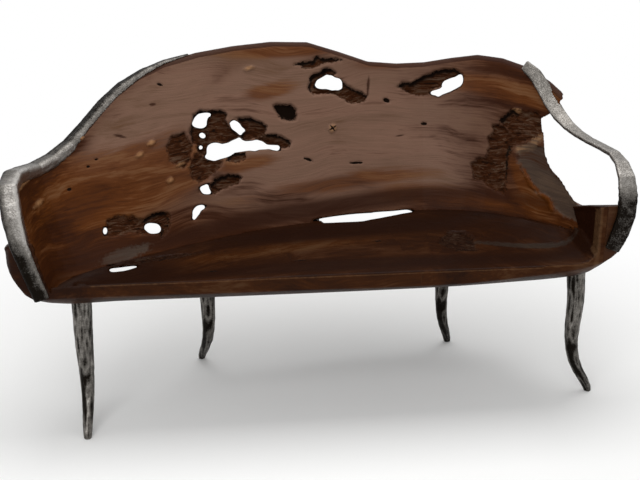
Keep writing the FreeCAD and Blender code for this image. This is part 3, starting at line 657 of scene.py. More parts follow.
def mark_borders(tree, mixed, ragged):
    """How strongly each kind of mark shows, from the nearness stored on the piece."""
    fields = {
        kind: add_node(tree, "ShaderNodeAttribute", attribute_name=kind).outputs["Fac"]
        for kind in MARK_KINDS
    }
    borders = {}
    for kind, (low, full) in SHARP_BORDERS.items():
        shifted = add_node(tree, "ShaderNodeMath", {0: fields[kind], 1: ragged}, operation="ADD")
        borders[kind] = add_node(
            tree, "ShaderNodeMapRange", {"Value": shifted, "From Min": low, "From Max": full}
        )
    for kind, (low, full, share) in SOFT_BORDERS.items():
        swayed = add_node(
            tree, "ShaderNodeMath", {0: mixed, 1: 1.6, 2: fields[kind]}, operation="MULTIPLY_ADD"
        )
        borders[kind] = add_node(
            tree,
            "ShaderNodeMapRange",
            {"Value": swayed, "From Min": low, "From Max": full, "To Max": share},
            interpolation_type="SMOOTHSTEP",
        )
    return borders


def wood_colour(tree, wood, mixed, crumble, borders):
    """The colour of the wood with each kind of mark laid over the ones before it."""
    ramps = {}
    for ramp, driver, stops in (
        ("sound", mixed, ((0.34, wood.dark_heart), (0.5, wood.heart), (0.68, wood.honey))),
        ("haze", mixed, ((0.25, wood.heart), (0.43, wood.haze), (0.8, wood.weathered))),
        ("honey", mixed, ((0.36, wood.heart), (0.54, wood.honey), (0.85, wood.sapwood))),
        ("sap", mixed, ((0.36, wood.heart), (0.5, wood.weathered), (0.66, wood.sapwood))),
        ("rough", crumble, ((0.34, wood.hollow), (0.5, wood.heart), (0.7, wood.weathered))),
        ("floor", crumble, ((0.34, wood.hollow), (0.48, wood.heart), (0.7, wood.weathered))),
        ("grey", mixed, ((0.32, wood.heart), (0.5, wood.facet), (0.75, wood.weathered))),
    ):
        ramps[ramp] = add_node(tree, "ShaderNodeValToRGB", {"Fac": driver}, stops)
    # The upper side of each recess is painted in shade with the hollow colour.
    ramps["recess"] = add_node(
        tree,
        "ShaderNodeMix",
        {"Factor": borders["lit"], 6: wood.hollow, 7: ramps["floor"]},
        data_type="RGBA",
    )
    colour = ramps["sound"]
    # Of these layers the grey haze is mostly painted sheen, the darkest layer holds dark knots and cracks
    # and also painted shade, and the pale nubs carry painted highlights.
    for kind, over in (
        ("haze", ramps["haze"]),
        ("honey", ramps["honey"]),
        ("dark_marks_and_shade", wood.dark_heart),
        ("grey", ramps["grey"]),
        ("rough", ramps["rough"]),
        ("sap", ramps["sap"]),
        ("ridge", wood.honey),
        ("nubs_and_highlights", wood.sapwood),
        ("recess", ramps["recess"]),
        ("pit", wood.hollow),
    ):
        colour = add_node(
            tree, "ShaderNodeMix", {"Factor": borders[kind], 6: colour, 7: over}, data_type="RGBA"
        )
    return colour


def hollowed_log_wood(name, wood, shade):
    """Varnished heartwood of a naturally hollowed hardwood log.

    The log was cleaned out, sanded and varnished: the eye sees broad dark and honey bands that run
    along the log under a satin film, grey bands of painted sheen, rough grey patches where the crumble
    stopped, blackened pits, pale nubs with painted highlights, and painted shade in the recesses, in
    some dark bands and along creases. Shade darkens all of it.
    """
    material, tree = new_material(name)
    grain = add_node(tree, "ShaderNodeAttribute", attribute_name="grain").outputs["Vector"]
    mixed, streaks, crumble, ragged = wood_patterns(tree, grain, wood)
    borders = mark_borders(tree, mixed, ragged)
    colour = add_node(
        tree,
        "ShaderNodeMix",
        {
            "Factor": 1.0,
            6: wood_colour(tree, wood, mixed, crumble, borders),
            7: (shade, shade, shade, 1.0),
        },
        data_type="RGBA",
        blend_type="MULTIPLY",
    )

    # The varnish is satin over sound wood and nearly gone where the wood is rough.
    bare = add_node(
        tree, "ShaderNodeMath", {0: borders["rough"], 1: borders["recess"]}, operation="MAXIMUM"
    )
    dull = add_node(tree, "ShaderNodeMath", {0: bare, 1: borders["pit"]}, operation="MAXIMUM")
    gloss = add_node(tree, "ShaderNodeMapRange", {"Value": dull, "To Min": 0.45, "To Max": 0.95})
    calm = add_node(tree, "ShaderNodeMath", {0: streaks, 1: 0.25}, operation="MULTIPLY")
    relief = add_node(tree, "ShaderNodeMix", {"Factor": bare, 2: calm, 3: crumble})
    bump = add_node(tree, "ShaderNodeBump", {"Height": relief, "Strength": 0.7, "Distance": 0.006})
    shader = add_node(
        tree,
        "ShaderNodeBsdfPrincipled",
        {
            "Base Color": colour,
            "Roughness": gloss,
            "Normal": bump,
            "IOR": 1.5,
            "Specular IOR Level": 0.06,
        },
    )
    finish_material(tree, shader)
    return material


def antiqued_cast_aluminium(name, metal):
    """Sand-cast aluminium, hammered, stained dark and rubbed bright again.

    The stain stays in the hollows and pits, so the eye sees pewter grey with dark specks,
    and bright glints where the raised places were rubbed.
    """
    material, tree = new_material(name)
    place = add_node(tree, "ShaderNodeTexCoord").outputs["Object"]
    stain = add_node(tree, "ShaderNodeAttribute", attribute_name="stain").outputs["Fac"]
    fine = 1 / metal.pit_size
    pits = add_node(
        tree,
        "ShaderNodeTexNoise",
        {"Vector": place, "Scale": fine, "Detail": 3.0, "Roughness": 0.6},
    )
    cloud = add_node(
        tree,
        "ShaderNodeTexNoise",
        {"Vector": place, "Scale": fine / 7, "Detail": 4.0, "Roughness": 0.6},
    )
    # Pits darken the metal and the grains between them are rubbed bright.
    speckle = add_node(
        tree,
        "ShaderNodeMapRange",
        {"Value": pits, "From Min": 0.3, "From Max": 0.7, "To Min": 0.16, "To Max": -0.16},
    )
    drift = add_node(
        tree,
        "ShaderNodeMapRange",
        {"Value": cloud, "From Min": 0.3, "From Max": 0.7, "To Min": 0.08, "To Max": -0.08},
    )
    uneven = add_node(tree, "ShaderNodeMath", {0: speckle, 1: drift}, operation="ADD")
    darkness = add_node(
        tree, "ShaderNodeMath", {0: stain, 1: uneven}, operation="ADD", use_clamp=True
    )
    colour = add_node(
        tree,
        "ShaderNodeValToRGB",
        {"Fac": darkness},
        stops=((0.05, metal.bright), (0.42, metal.pewter), (0.9, metal.patina)),
    )
    gloss = add_node(
        tree, "ShaderNodeMapRange", {"Value": darkness, "To Min": 0.28, "To Max": 0.6}
    )
    cloud_bump = add_node(
        tree, "ShaderNodeBump", {"Height": cloud, "Strength": 0.5, "Distance": 0.004}
    )
    pit_bump = add_node(
        tree,
        "ShaderNodeBump",
        {"Height": pits, "Strength": 0.7, "Distance": 0.0016, "Normal": cloud_bump},
    )
    shader = add_node(
        tree,
        "ShaderNodeBsdfPrincipled",
        {"Base Color": colour, "Metallic": 1.0, "Roughness": gloss, "Normal": pit_bump},
    )
    finish_material(tree, shader)
    return material


def zinc_plated_steel(name, metal):
    """Steel fasteners with bright zinc plating: blue-grey, slightly cloudy and half glossy."""
    material, tree = new_material(name)
    place = add_node(tree, "ShaderNodeTexCoord").outputs["Object"]
    # The clouds are about 4 mm across.
    cloud = add_node(tree, "ShaderNodeTexNoise", {"Vector": place, "Scale": 260.0, "Detail": 3.0})
    gloss = add_node(tree, "ShaderNodeMapRange", {"Value": cloud, "To Min": 0.24, "To Max": 0.44})
    colour = add_node(
        tree,
        "ShaderNodeMix",
        {"Factor": cloud, 6: metal.zinc, 7: metal.dull_zinc},
        data_type="RGBA",
    )
    shader = add_node(
        tree,
        "ShaderNodeBsdfPrincipled",
        {"Base Color": colour, "Metallic": 1.0, "Roughness": gloss},
    )
    finish_material(tree, shader)
    return material


def seen_directly(tree):
    """1 for rays that come from the camera, off a glossy surface or through glass, else 0."""
    ray = add_node(tree, "ShaderNodeLightPath")
    seen = add_node(
        tree,
        "ShaderNodeMath",
        {0: ray.outputs["Is Camera Ray"], 1: ray.outputs["Is Glossy Ray"]},
        operation="ADD",
    )
    return add_node(
        tree,
        "ShaderNodeMath",
        {0: seen, 1: ray.outputs["Is Transmission Ray"]},
        operation="ADD",
        use_clamp=True,
    )


def painted_floor(name, stage):
    """Matt white studio floor: it takes the bench's shadow near it and fades to plain white."""
    material, tree = new_material(name)
    place = add_node(tree, "ShaderNodeTexCoord").outputs["Object"]
    away = add_node(tree, "ShaderNodeVectorMath", {0: place}, operation="LENGTH")
    near, far = FLOOR_FADE
    fade = add_node(
        tree,
        "ShaderNodeMapRange",
        {"Value": away, "From Min": near, "From Max": far},
        interpolation_type="SMOOTHSTEP",
    )
    share = add_node(tree, "ShaderNodeMath", {0: fade, 1: seen_directly(tree)}, operation="MULTIPLY")
    matt = add_node(
        tree, "ShaderNodeBsdfPrincipled", {"Base Color": stage.floor, "Roughness": 0.9}
    )
    white = add_node(tree, "ShaderNodeEmission", {"Color": (1.0, 1.0, 1.0, 1.0), "Strength": 1.0})
    mixed = add_node(tree, "ShaderNodeMixShader", {0: share, 1: matt, 2: white})
    finish_material(tree, mixed)
    return material


def object_from(name, shaped):
    """Turn a bmesh into an object of the scene."""
    mesh = bpy.data.meshes.new(name)
    shaped.to_mesh(mesh)
    shaped.free()
    made = bpy.data.objects.new(name, mesh)
    bpy.context.scene.collection.objects.link(made)
    return made


def apply_modifiers(piece):
    """Give a piece the mesh that its modifiers make of it, smoothly shaded, and drop them."""
    evaluated = piece.evaluated_get(bpy.context.evaluated_depsgraph_get())
    piece.data = bpy.data.meshes.new_from_object(evaluated)
    piece.modifiers.clear()
    for polygon in piece.data.polygons:
        polygon.use_smooth = True


def settle_points(mesh, rounds):
    """Take the voxel steps out of a mesh without shrinking it: each round eases, then swells."""
    edges = np.empty(len(mesh.edges) * 2, dtype=np.int64)
    mesh.edges.foreach_get("vertices", edges)
    ends = np.concatenate((edges, edges.reshape(-1, 2)[:, ::-1].ravel())).reshape(-1, 2)
    points = read_vectors(mesh.vertices, "co")
    count = np.bincount(ends[:, 0], minlength=len(points))[:, None]
    for weight in (0.6, -0.62) * rounds:
        middle = np.stack(
            [np.bincount(ends[:, 0], points[ends[:, 1], axis], len(points)) for axis in range(3)],
            axis=1,
        )
        points = points + weight * (middle / count - points)
    mesh.vertices.foreach_set("co", points.ravel())
    mesh.update()


def along_sight(outline, reach):
    """Points of an outline on the hole plane, moved along the lines of sight to another plane."""
    place = np.array(VIEW_PLACE)
    flat = np.array(outline, dtype=float) * MILLIMETRE
    points = np.stack((flat[:, 0], np.full(len(flat), HOLE_PLANE), flat[:, 1]), axis=1)
    return place + (points - place) * (reach - place[1]) / (HOLE_PLANE - place[1])


def sight_prisms(name, outlines, planes):
    """A helper with one closed prism per outline, drawn out from its near to its far plane."""
    shaped = bmesh.new()
    viewer = Matrix.Translation(-Vector(VIEW_PLACE))
    for outline, (near, far) in zip(outlines, planes):
        corners = [shaped.verts.new(place) for place in along_sight(outline, near)]
        face = shaped.faces.new(corners)
        drawn = bmesh.ops.extrude_face_region(shaped, geom=[face])["geom"]
        growth = (far - VIEW_PLACE[1]) / (near - VIEW_PLACE[1])
        moved = [part for part in drawn if isinstance(part, bmesh.types.BMVert)]
        bmesh.ops.scale(shaped, vec=(growth, growth, growth), space=viewer, verts=moved)
    bmesh.ops.recalc_face_normals(shaped, faces=shaped.faces)
    bmesh.ops.triangulate(shaped, faces=[face for face in shaped.faces if len(face.verts) > 4])
    return object_from(name, shaped)


def plug_planes(mesh, outline):
    """The two planes between which a plug fills the wall that an outline crosses."""
    tree = BVHTree.FromPolygons(
        [vertex.co for vertex in mesh.vertices], [polygon.vertices for polygon in mesh.polygons]
    )
    viewer = Vector(VIEW_PLACE)
    aims = [Vector(point) - viewer for point in along_sight(outline, 0)]
    hits = [tree.ray_cast(viewer, aim)[0] for aim in aims]
    wall = float(np.median([hit.y for hit in hits if hit]))
    start, end = PLUG_DEPTHS
    return wall + start, wall + end


def roof_disc(name, size):
    """A helper that is a flat round disc."""
    x, y, z, radius, thickness = (value * MILLIMETRE for value in size)
    shaped = bmesh.new()
    bmesh.ops.create_cone(
        shaped,
        cap_ends=True,
        segments=24,
        radius1=radius,
        radius2=radius,
        depth=thickness,
        matrix=Matrix.Translation((x, y, z)),
    )
    return object_from(name, shaped)


def even_copy(node, name, spacing, smoothing, holes=(), plugs=(), roof=None):
    """Copy a CAD node's mesh, wear the holes and give it evenly spaced points for sculpting."""
    shaped = bmesh.new()
    shaped.from_mesh(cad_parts[node].data)
    bmesh.ops.remove_doubles(shaped, verts=shaped.verts, dist=MERGE_REACH)
    piece = object_from(name, shaped)
    helpers = []
    if plugs:
        planes = [plug_planes(piece.data, outline) for outline in plugs]
        helpers.append((sight_prisms(f"{name}_plugs", plugs, planes), "UNION"))
    if roof:
        helpers.append((roof_disc(f"{name}_roof", roof), "UNION"))
    if holes:
        planes = [CUT_PLANES] * len(holes)
        helpers.append((sight_prisms(f"{name}_cuts", holes, planes), "DIFFERENCE"))
    for helper, operation in helpers:
        worn = piece.modifiers.new(helper.name, "BOOLEAN")
        worn.object = helper
        worn.operation = operation
        worn.solver = "EXACT"
    remesh = piece.modifiers.new("Even mesh", "REMESH")
    remesh.mode = "VOXEL"
    remesh.voxel_size = spacing
    apply_modifiers(piece)
    for helper, _ in helpers:
        bpy.data.objects.remove(helper)
    settle_points(piece.data, smoothing)
    return piece


def thin_far_side(piece, share):
    """Thin out the faces that look away from the sitter, until a share of all faces is left."""
    facing = towards_sitter(*read_surface(piece.data))
    group = piece.vertex_groups.new(name="far_side")
    group.add(np.flatnonzero(facing == 0).tolist(), 1.0, "REPLACE")
    thinned = piece.modifiers.new("Thin far side", "DECIMATE")
    thinned.ratio = share
    thinned.vertex_group = group.name
    apply_modifiers(piece)
    piece.vertex_groups.clear()


def read_vectors(items, field):
    """One row of three numbers for each point of a mesh."""
    values = np.empty(len(items) * 3)
    items.foreach_get(field, values)
    return values.reshape(-1, 3)


def read_surface(mesh):
    """The place and the normal of each point of a mesh."""
    return read_vectors(mesh.vertices, "co"), read_vectors(mesh.vertices, "normal")


def waves(points, length, seed):
    """Smooth waves from -1 to 1, as long as length in each direction and the same on every run."""
    return np.array([noise.noise(place) for place in (points / length + seed).tolist()])


def smooth_step(value):
    """Ease from 0 to 1."""
    held = np.clip(value, 0.0, 1.0)
    return held * held * (3 - 2 * held)


def rise(values, start, width):
    """0 up to start, 1 from start plus width on, and an eased climb between."""
    return smooth_step((values - start) / width)


def around(values, middle, half_width):
    """1 within a half width of the middle, 0 from two half widths on."""
    return smooth_step(2 - abs(values - middle) / half_width)


def move_surface(mesh, points, node):
    """Move the points of a mesh, but not out of the box of the solid that it stands for."""
    held = np.clip(points, *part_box(node))
    mesh.vertices.foreach_set("co", held.ravel())
    mesh.update()
    return held


def write_values(mesh, name, values):
    """Store one number per point for the material to read."""
    layer = mesh.attributes.new(name, "FLOAT", "POINT")
    layer.data.foreach_set("value", np.clip(values, 0.0, 1.0).astype(np.float32))


def write_grain(mesh, points):
    """Store each point's place along the log's wall, its height and its depth in the wall."""
    line = np.array(WALL_LINE) * MILLIMETRE
    runs = np.diff(line, axis=0)
    lengths = np.linalg.norm(runs, axis=1)
    starts = np.concatenate(([0.0], np.cumsum(lengths)[:-1]))
    best = np.full(len(points), np.inf)
    along = np.zeros(len(points))
    side = np.zeros(len(points))
    for start, run, length, origin in zip(line[:-1], runs, lengths, starts):
        offset = points[:, :2] - start
        share = np.clip(offset @ run / length**2, 0.0, 1.0)
        gap = offset - share[:, None] * run
        distance = np.linalg.norm(gap, axis=1)
        nearer = distance < best
        best = np.where(nearer, distance, best)
        along = np.where(nearer, origin + share * length, along)
        side = np.where(nearer, distance * np.sign(run[0] * gap[:, 1] - run[1] * gap[:, 0]), side)
    grain = np.stack((along, points[:, 2], side), axis=1)
    layer = mesh.attributes.new("grain", "FLOAT_VECTOR", "POINT")
    layer.data.foreach_set("vector", grain.astype(np.float32).ravel())


def spot_reach(flat, spot):
    """How far each point is from the middle of an oval spot, in half sizes."""
    _, x, y, half_width, half_depth, turn, _ = spot
    offset = flat - np.array((x, y))
    angle = math.radians(turn)
    along = (offset[:, 0] * math.cos(angle) + offset[:, 1] * math.sin(angle)) / half_width
    aside = (offset[:, 1] * math.cos(angle) - offset[:, 0] * math.sin(angle)) / half_depth
    return np.hypot(along, aside)


def outline_depth(flat, outline):
    """How far each point lies inside a closed outline; outside it the number is negative."""
    corners = np.array(outline, dtype=float)
    nearest = np.full(len(flat), np.inf)
    inside = np.zeros(len(flat), dtype=bool)
    for start, end in zip(corners, np.roll(corners, -1, axis=0)):
        run = end - start
        share = np.clip((flat - start) @ run / (run @ run), 0.0, 1.0)
        distance = np.linalg.norm(flat - start - share[:, None] * run, axis=1)
        nearest = np.minimum(nearest, distance)
        if run[1]:
            crossing = start[0] + (flat[:, 1] - start[1]) * run[0] / run[1]
            beside = (start[1] > flat[:, 1]) != (end[1] > flat[:, 1])
            inside ^= beside & (flat[:, 0] < crossing)
    return np.where(inside, nearest, -nearest)


def mark_wood(points, flat, facing, spots, patches):
    """Work out from the tables how deep each point sinks and how near each mark it is.

    A nearness is 1 in the middle of a mark, a half on its border and 0 well outside it."""
    depth = np.zeros(len(points))
    near = {kind: np.zeros(len(points)) for kind in MARK_KINDS}
    ragged = sum(share * waves(points, length, seed) for share, length, seed in RAGGED_WAVES)
    flat = flat / MILLIMETRE
    for spot in spots:
        kind, sink = spot[0], spot[-1]
        reach = spot_reach(flat, spot)
        if kind in SHARP_BORDERS:
            reach = reach + ragged
        sunk = sink * smooth_step((SPOT_EDGE - reach) * SPOT_SLOPE)
        depth = np.where(abs(sunk) > abs(depth), sunk, depth)
        near[kind] = np.maximum(near[kind], np.clip(1 - reach / 2, 0, 1))
    for kind, sink, outline in patches:
        inside = outline_depth(flat, outline) + OUTLINE_SWAY * ragged
        sunk = sink * smooth_step(0.5 + inside / PATCH_WALL)
        depth = np.where(abs(sunk) > abs(depth), sunk, depth)
        near[kind] = np.maximum(near[kind], np.clip(0.5 + inside / PATCH_FADE, 0, 1))
        if kind == "recess":
            # Painted shade: a recess is lit only where the point a little up and to the left is still
            # inside it; the rest takes the hollow colour.
            below = outline_depth(flat + np.array(LIT_SHIFT), outline) + OUTLINE_SWAY * ragged
            near["lit"] = np.maximum(near["lit"], np.clip(0.5 + below / LIT_FADE, 0, 1))
    for kind in MARK_KINDS:
        near[kind] = near[kind] * facing
    return depth * MILLIMETRE * facing, near


def towards_sitter(points, normals):
    """How far each point of the back looks towards the middle of the hollow: 1 wholly, 0 not."""
    x, y = MIDDLE_OF_HOLLOW
    inward = -(normals[:, 0] * (points[:, 0] - x) + normals[:, 1] * (points[:, 1] - y))
    return smooth_step(inward * BACK_FACING)


def hole_rims(points, holes):
    """How near each point is to the rim of a hole: 1 on the rim, 0 from the rim's width on."""
    place = np.array(VIEW_PLACE)
    shift = (HOLE_PLANE - place[1]) / (points[:, 1] - place[1])
    seen = (place + (points - place) * shift[:, None])[:, (0, 2)] / MILLIMETRE
    rims = np.zeros(len(points))
    for outline in holes:
        corners = np.array(outline)
        low, high = corners.min(axis=0) - RIM_WIDTH, corners.max(axis=0) + RIM_WIDTH
        close = np.all((seen > low) & (seen < high), axis=1)
        depth = outline_depth(seen[close], outline)
        rims[close] = np.maximum(rims[close], 1 + depth / RIM_WIDTH)
    return np.clip(rims, 0.0, 1.0)


def press_foot(points, press):
    """Bed the back's foot in the seat, but not where the wood stays split along the seam."""
    start, height, slope = SEAM
    seam = height + slope * (points[:, 0] - start)
    foot = rise(-points[:, 2], -seam - 0.005, 0.006)
    for left, right in SPLIT_ENDS:
        foot = foot * (1 - rise(points[:, 0], left, 0.02) * rise(-points[:, 0], -right, 0.02))
    points[:, 2] -= press * foot


def add_mark(near, kind, values):
    """Lay one more mark over those of its kind."""
    near[kind] = np.maximum(near[kind], values)


def shade_back(points, normals, near):
    """Darken the back's crest and blacken the rims of its holes."""
    crest = rise(normals[:, 2], 0.35, 0.25) * rise(points[:, 2], CREST_HEIGHT, 1 / 30)
    add_mark(near, "dark_marks_and_shade", crest)
    add_mark(near, "pit", 0.7 * hole_rims(points, (*BACK_HOLES, *SEAM_HOLES)))


def shade_seat(points, normals, near):
    """Colour the seat's front lip with a painted highlight along its upper edge, and the low wall at its
    right end with painted shade on its inner face, a painted highlight down its front corner and grey on
    its outer face.
    """
    x, y, _ = points.T
    right, back, up = normals.T
    past_left = rise(x, LIP_LEFT, 0.05)
    add_mark(near, "honey", 0.8 * rise(-back, 0.5, 0.25) * past_left)
    # Painted highlight: a pale line along the upper edge of the lip.
    edge = rise(-back, 0.2, 0.2) * around(up, 0.6, 1 / 6) * past_left * rise(-y, -LIP_BACK, 0.02)
    add_mark(near, "nubs_and_highlights", 0.7 * edge)
    end_wall = rise(x, END_WALL, 0.025) * rise(-up, -0.6, 0.2)
    # Painted shade on the inner face of the end wall.
    add_mark(near, "dark_marks_and_shade", end_wall * rise(-right, 0.5, 0.2))
    # Painted highlight down the front corner of the end wall.
    corner_x, corner_y = END_CORNER
    corner = around(x, corner_x, 0.006) * rise(-y, -corner_y, 0.01) * end_wall
    add_mark(near, "nubs_and_highlights", 0.66 * corner)
    # The outer face of the end wall takes the grey-brown that paints the sheen on the back, here as the
    # wood's own grey.
    add_mark(near, "haze", rise(x, END_OUTER_FACE, 1 / 80) * end_wall)


def carve_wood(piece, node, tables, wood, on_back):
    """Sculpt the natural surface of a wooden piece and store what its material needs."""
    mesh = piece.data
    points, normals = read_surface(mesh)
    if on_back:
        facing = towards_sitter(points, normals)
        flat = points[:, (0, 2)]
        sight = points - np.array(VIEW_PLACE)
        push = sight / np.linalg.norm(sight, axis=1)[:, None]
    else:
        facing = smooth_step(normals[:, 2] * SEAT_FACING)
        flat = points[:, (0, 1)]
        push = -normals
    depth, near = mark_wood(points, flat, facing, *tables)
    swell = wood.wave_height * waves(points, SWELL_LENGTH, 3) * facing
    if not on_back:
        # The seat only swells up, so that the inserts under it stay covered.
        swell = swell - 2 * wood.wave_height * facing
    swayed = points + SWAY_REACH * waves(points, SWAY_LENGTH, 19)[:, None]
    along = abs(waves(swayed, GROOVE_LENGTH, 23))
    grooves = along + CROSS_SHARE * abs(waves(points, CROSS_LENGTH, 29))
    bare = rise(near["rough"], 0.4, 1 / 6) + FLOOR_SHARE * rise(near["recess"], 0.5, 1 / 6)
    sunk = depth + swell + wood.patch_groove * bare * grooves
    points = points + push * sunk[:, None]
    if on_back:
        press_foot(points, wood.joint_press)
        shade_back(points, normals, near)
    else:
        shade_seat(points, normals, near)
    points = move_surface(mesh, points, node)
    write_grain(mesh, points)
    for kind in MARK_KINDS:
        write_values(mesh, kind, near[kind])


def distance_to_line(points, line):
    """How far each point is from a line of straight runs, and how far along the line in shares."""
    stops = np.array(line) * MILLIMETRE
    best = np.full(len(points), np.inf)
    along = np.zeros(len(points))
    for number, (start, end) in enumerate(zip(stops[:-1], stops[1:])):
        run = end - start
        share = np.clip((points - start) @ run / (run @ run), 0.0, 1.0)
        distance = np.linalg.norm(points - start - share[:, None] * run, axis=1)
        nearer = distance < best
        best = np.where(nearer, distance, best)
        along = np.where(nearer, (number + share) / (len(stops) - 1), along)
    return best, along


def hammer_metal(piece, node, metal, line, stain_stops, shaded_side, rings):
    """Give a cast arm its shallow hammer marks and store where the dark stain stays.

    The side that faces the given side along X gets painted shade and the other side a painted
    highlight, and raised rings go round the arm at the shares of its length in rings.
    at the shares of its length in rings."""
    points, normals = read_surface(piece.data)
    marks = waves(points, metal.hammer_size, 5)
    small = waves(points, metal.hammer_size / 3, 7)
    large_share, small_share, sink = HAMMER_SHARES
    height = metal.hammer_depth * (large_share * marks + small_share * small - sink)
    out, along = distance_to_line(points, line)
    for share in rings:
        ring = np.exp(-(((along - share) / RING_WIDTH) ** 2))
        height = height + RING_HEIGHT * metal.hammer_depth * ring
    move_surface(piece.data, points + normals * height[:, None], node)
    edge_share, mark_share, side_shade_share = ARM_STAIN_SHARES
    stain = np.interp(along, *zip(*stain_stops)) + edge_share * rise(out, ARM_EDGE, ARM_EDGE_FADE)
    # Painted light: the outer side is darker and the inner side lighter, by the normal along X.
    stain = stain - mark_share * (marks + small) + side_shade_share * shaded_side * normals[:, 0]
    write_values(piece.data, "stain", stain)


def groove_leg(piece, node, metal, stain):
    """Give a cast leg its bark: ridges and grooves that run down along the leg."""
    points, normals = read_surface(piece.data)
    low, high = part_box(node)
    levels = np.linspace(low[2], high[2], LEG_LEVELS)
    near = abs(points[:, 2][:, None] - levels) < (levels[1] - levels[0])
    middles = np.array([points[column].mean(axis=0) for column in near.T])
    centred = points.copy()
    for axis in (0, 1):
        centred[:, axis] -= np.interp(points[:, 2], levels, middles[:, axis])
    centred[:, 2] *= BARK_STRETCH
    layers = np.array(
        (
            1 - 2 * abs(waves(centred, metal.groove_size, 31)),
            waves(centred, 2.2 * metal.groove_size, 37),
            waves(points, metal.hammer_size, 41),
        )
    )
    height = metal.groove_depth * (np.array(BARK_RELIEF) @ layers - BARK_SINK)
    move_surface(piece.data, points + normals * height[:, None], node)
    write_values(piece.data, "stain", stain - np.array(BARK_STAIN) @ layers)


def dress(piece, node, material):
    """Put a finished piece on the frame in place of its CAD node."""
    piece.data.materials.append(material)
    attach(piece, "root")
    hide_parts(node)


class BENCH_OT_backrest(bpy.types.Operator):
    """Sculpt the wooden back from its solid"""

    bl_idname = "bench.backrest"
    bl_label = "Wooden back"

    def execute(self, context):
        wood = context.scene.bench_wood
        holes = (*BACK_HOLES, *SEAM_HOLES)
        piece = even_copy("backrest", "backrest_wood", wood.back_spacing, 4, holes, BACK_PLUGS)
        thin_far_side(piece, wood.far_side_share)
        carve_wood(piece, "backrest", (BACK_SPOTS, BACK_PATCHES), wood, True)
        material = hollowed_log_wood("varnished_log_back", wood, 1.0)
        dress(piece, "backrest", material)
        return {"FINISHED"}


class BENCH_OT_seat(bpy.types.Operator):
    """Sculpt the wooden seat from its solid"""

    bl_idname = "bench.seat"
    bl_label = "Wooden seat"

    def execute(self, context):
        wood = context.scene.bench_wood
        piece = even_copy("seat", "seat_wood", wood.seat_spacing, 3, SEAM_HOLES, roof=INSERT_ROOF)
        carve_wood(piece, "seat", (SEAT_SPOTS, SEAT_PATCHES), wood, False)
        material = hollowed_log_wood("varnished_log_seat", wood, wood.seat_shade)
        dress(piece, "seat", material)
        return {"FINISHED"}


class BENCH_OT_arms(bpy.types.Operator):
    """Give the left band and the right arm their hammered cast skin"""

    bl_idname = "bench.arms"
    bl_label = "Cast arms"

    def execute(self, context):
        metal = context.scene.bench_metal
        material = antiqued_cast_aluminium("hammered_cast_aluminium_arms", metal)
        for node, line, stain, shaded_side, rings in (
            ("left_arm_band", BAND_LINE, BAND_STAIN, -1, ()),
            ("right_arm", STRAP_LINE, STRAP_STAIN, 0, STRAP_RINGS),
        ):
            piece = even_copy(node, f"{node}_casting", metal.spacing, 4)
            hammer_metal(piece, node, metal, line, stain, shaded_side, rings)
            dress(piece, node, material)
        return {"FINISHED"}


class BENCH_OT_legs(bpy.types.Operator):
    """Give the four legs their bark-like cast skin"""

    bl_idname = "bench.legs"
    bl_label = "Cast legs"

    def execute(self, context):
        metal = context.scene.bench_metal
        material = antiqued_cast_aluminium("bark_cast_aluminium_legs", metal)
        for node, stain in LEG_STAINS.items():
            piece = even_copy(node, f"{node}_casting", metal.spacing, 2)
            groove_leg(piece, node, metal, stain)
            dress(piece, node, material)
        return {"FINISHED"}


class BENCH_OT_fasteners(bpy.types.Operator):
    """Plate the bolts, inserts, screws and studs"""

    bl_idname = "bench.fasteners"
    bl_label = "Fasteners"

    def execute(self, context):
        material = zinc_plated_steel("zinc_plated_steel", context.scene.bench_metal)
        for node in FASTENER_NODES:
            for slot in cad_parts[node].material_slots:
                slot.material = material
        return {"FINISHED"}


def soft_lamp(name, place, turn, width, height, power):
    """A large soft rectangular lamp."""
    data = bpy.data.lights.new(name, "AREA")
    data.shape = "RECTANGLE"
    data.size = width
    data.size_y = height
    data.energy = power
    lamp = bpy.data.objects.new(name, data)
    lamp.location = place
    lamp.rotation_euler = [math.radians(angle) for angle in turn]
    bpy.context.scene.collection.objects.link(lamp)


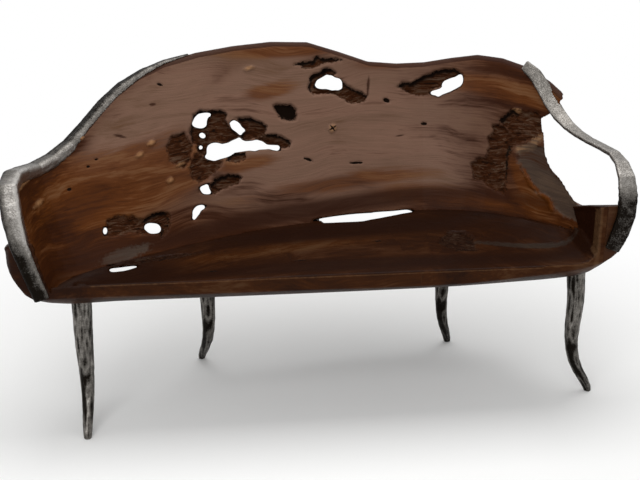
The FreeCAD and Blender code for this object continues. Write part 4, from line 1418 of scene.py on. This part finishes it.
class BENCH_OT_stage(bpy.types.Operator):
    """Set up the floor, the lamps, the world and the camera"""

    bl_idname = "bench.stage"
    bl_label = "Stage"

    def execute(self, context):
        stage = context.scene.bench_stage
        shaped = bmesh.new()
        bmesh.ops.create_grid(shaped, x_segments=1, y_segments=1, size=FLOOR_REACH)
        floor = object_from("studio_floor", shaped)
        floor.data.materials.append(painted_floor("painted_studio_floor", stage))

        soft_lamp("key_lamp", *KEY_LAMP, stage.key_power)
        soft_lamp("top_lamp", *TOP_LAMP, stage.top_power)

        world = bpy.data.worlds.new("white_studio")
        world.use_nodes = True
        tree = world.node_tree
        tree.nodes.clear()
        # The background is plain white where it shows, and lights the bench more softly.
        strength = add_node(
            tree,
            "ShaderNodeMapRange",
            {"Value": seen_directly(tree), "To Min": BACKGROUND_LIGHT, "To Max": 1.0},
        )
        light = add_node(
            tree, "ShaderNodeBackground", {"Color": (1.0, 1.0, 1.0, 1.0), "Strength": strength}
        )
        add_node(tree, "ShaderNodeOutputWorld", {"Surface": light})
        context.scene.world = world

        data = bpy.data.cameras.new("photo_camera")
        data.sensor_width = FRAME_WIDTH
        data.lens = stage.camera_lens
        data.clip_end = CAMERA_REACH
        camera = bpy.data.objects.new("photo_camera", data)
        camera.location = stage.camera_place
        camera.rotation_euler = (math.radians(90) - stage.camera_pitch, 0.0, -stage.camera_turn)
        context.scene.collection.objects.link(camera)
        context.scene.camera = camera
        context.scene.view_settings.view_transform = "Standard"
        return {"FINISHED"}


class BENCH_PT_panel(bpy.types.Panel):
    """Lists the bench's properties and the operators that build it"""

    bl_label = "Live edge bench"
    bl_idname = "BENCH_PT_panel"
    bl_space_type = "VIEW_3D"
    bl_region_type = "UI"
    bl_category = "Bench"

    def draw(self, context):
        for group in (context.scene.bench_wood, context.scene.bench_metal, context.scene.bench_stage):
            box = self.layout.box()
            for name in group.bl_rna.properties.keys():
                if name not in ("rna_type", "name"):
                    box.prop(group, name)
        for operator in OPERATORS:
            self.layout.operator(operator.bl_idname)


OPERATORS = (
    BENCH_OT_backrest,
    BENCH_OT_seat,
    BENCH_OT_arms,
    BENCH_OT_legs,
    BENCH_OT_fasteners,
    BENCH_OT_stage,
)
GROUPS = {
    "bench_wood": BENCH_PG_wood,
    "bench_metal": BENCH_PG_metal,
    "bench_stage": BENCH_PG_stage,
}


def register():
    """Make the properties, operators and panel known to Blender."""
    for group in (*GROUPS.values(), *OPERATORS, BENCH_PT_panel):
        bpy.utils.register_class(group)
    for name, group in GROUPS.items():
        setattr(bpy.types.Scene, name, PointerProperty(type=group))


def unregister():
    """Take the properties, operators and panel away again."""
    for name in GROUPS:
        delattr(bpy.types.Scene, name)
    for group in (BENCH_PT_panel, *reversed(OPERATORS), *reversed(GROUPS.values())):
        bpy.utils.unregister_class(group)


def main():
    """Build the whole bench and its stage."""
    register()
    bpy.ops.bench.backrest()
    bpy.ops.bench.seat()
    bpy.ops.bench.arms()
    bpy.ops.bench.legs()
    bpy.ops.bench.fasteners()
    bpy.ops.bench.stage()


if __name__ == "__main__":
    main()
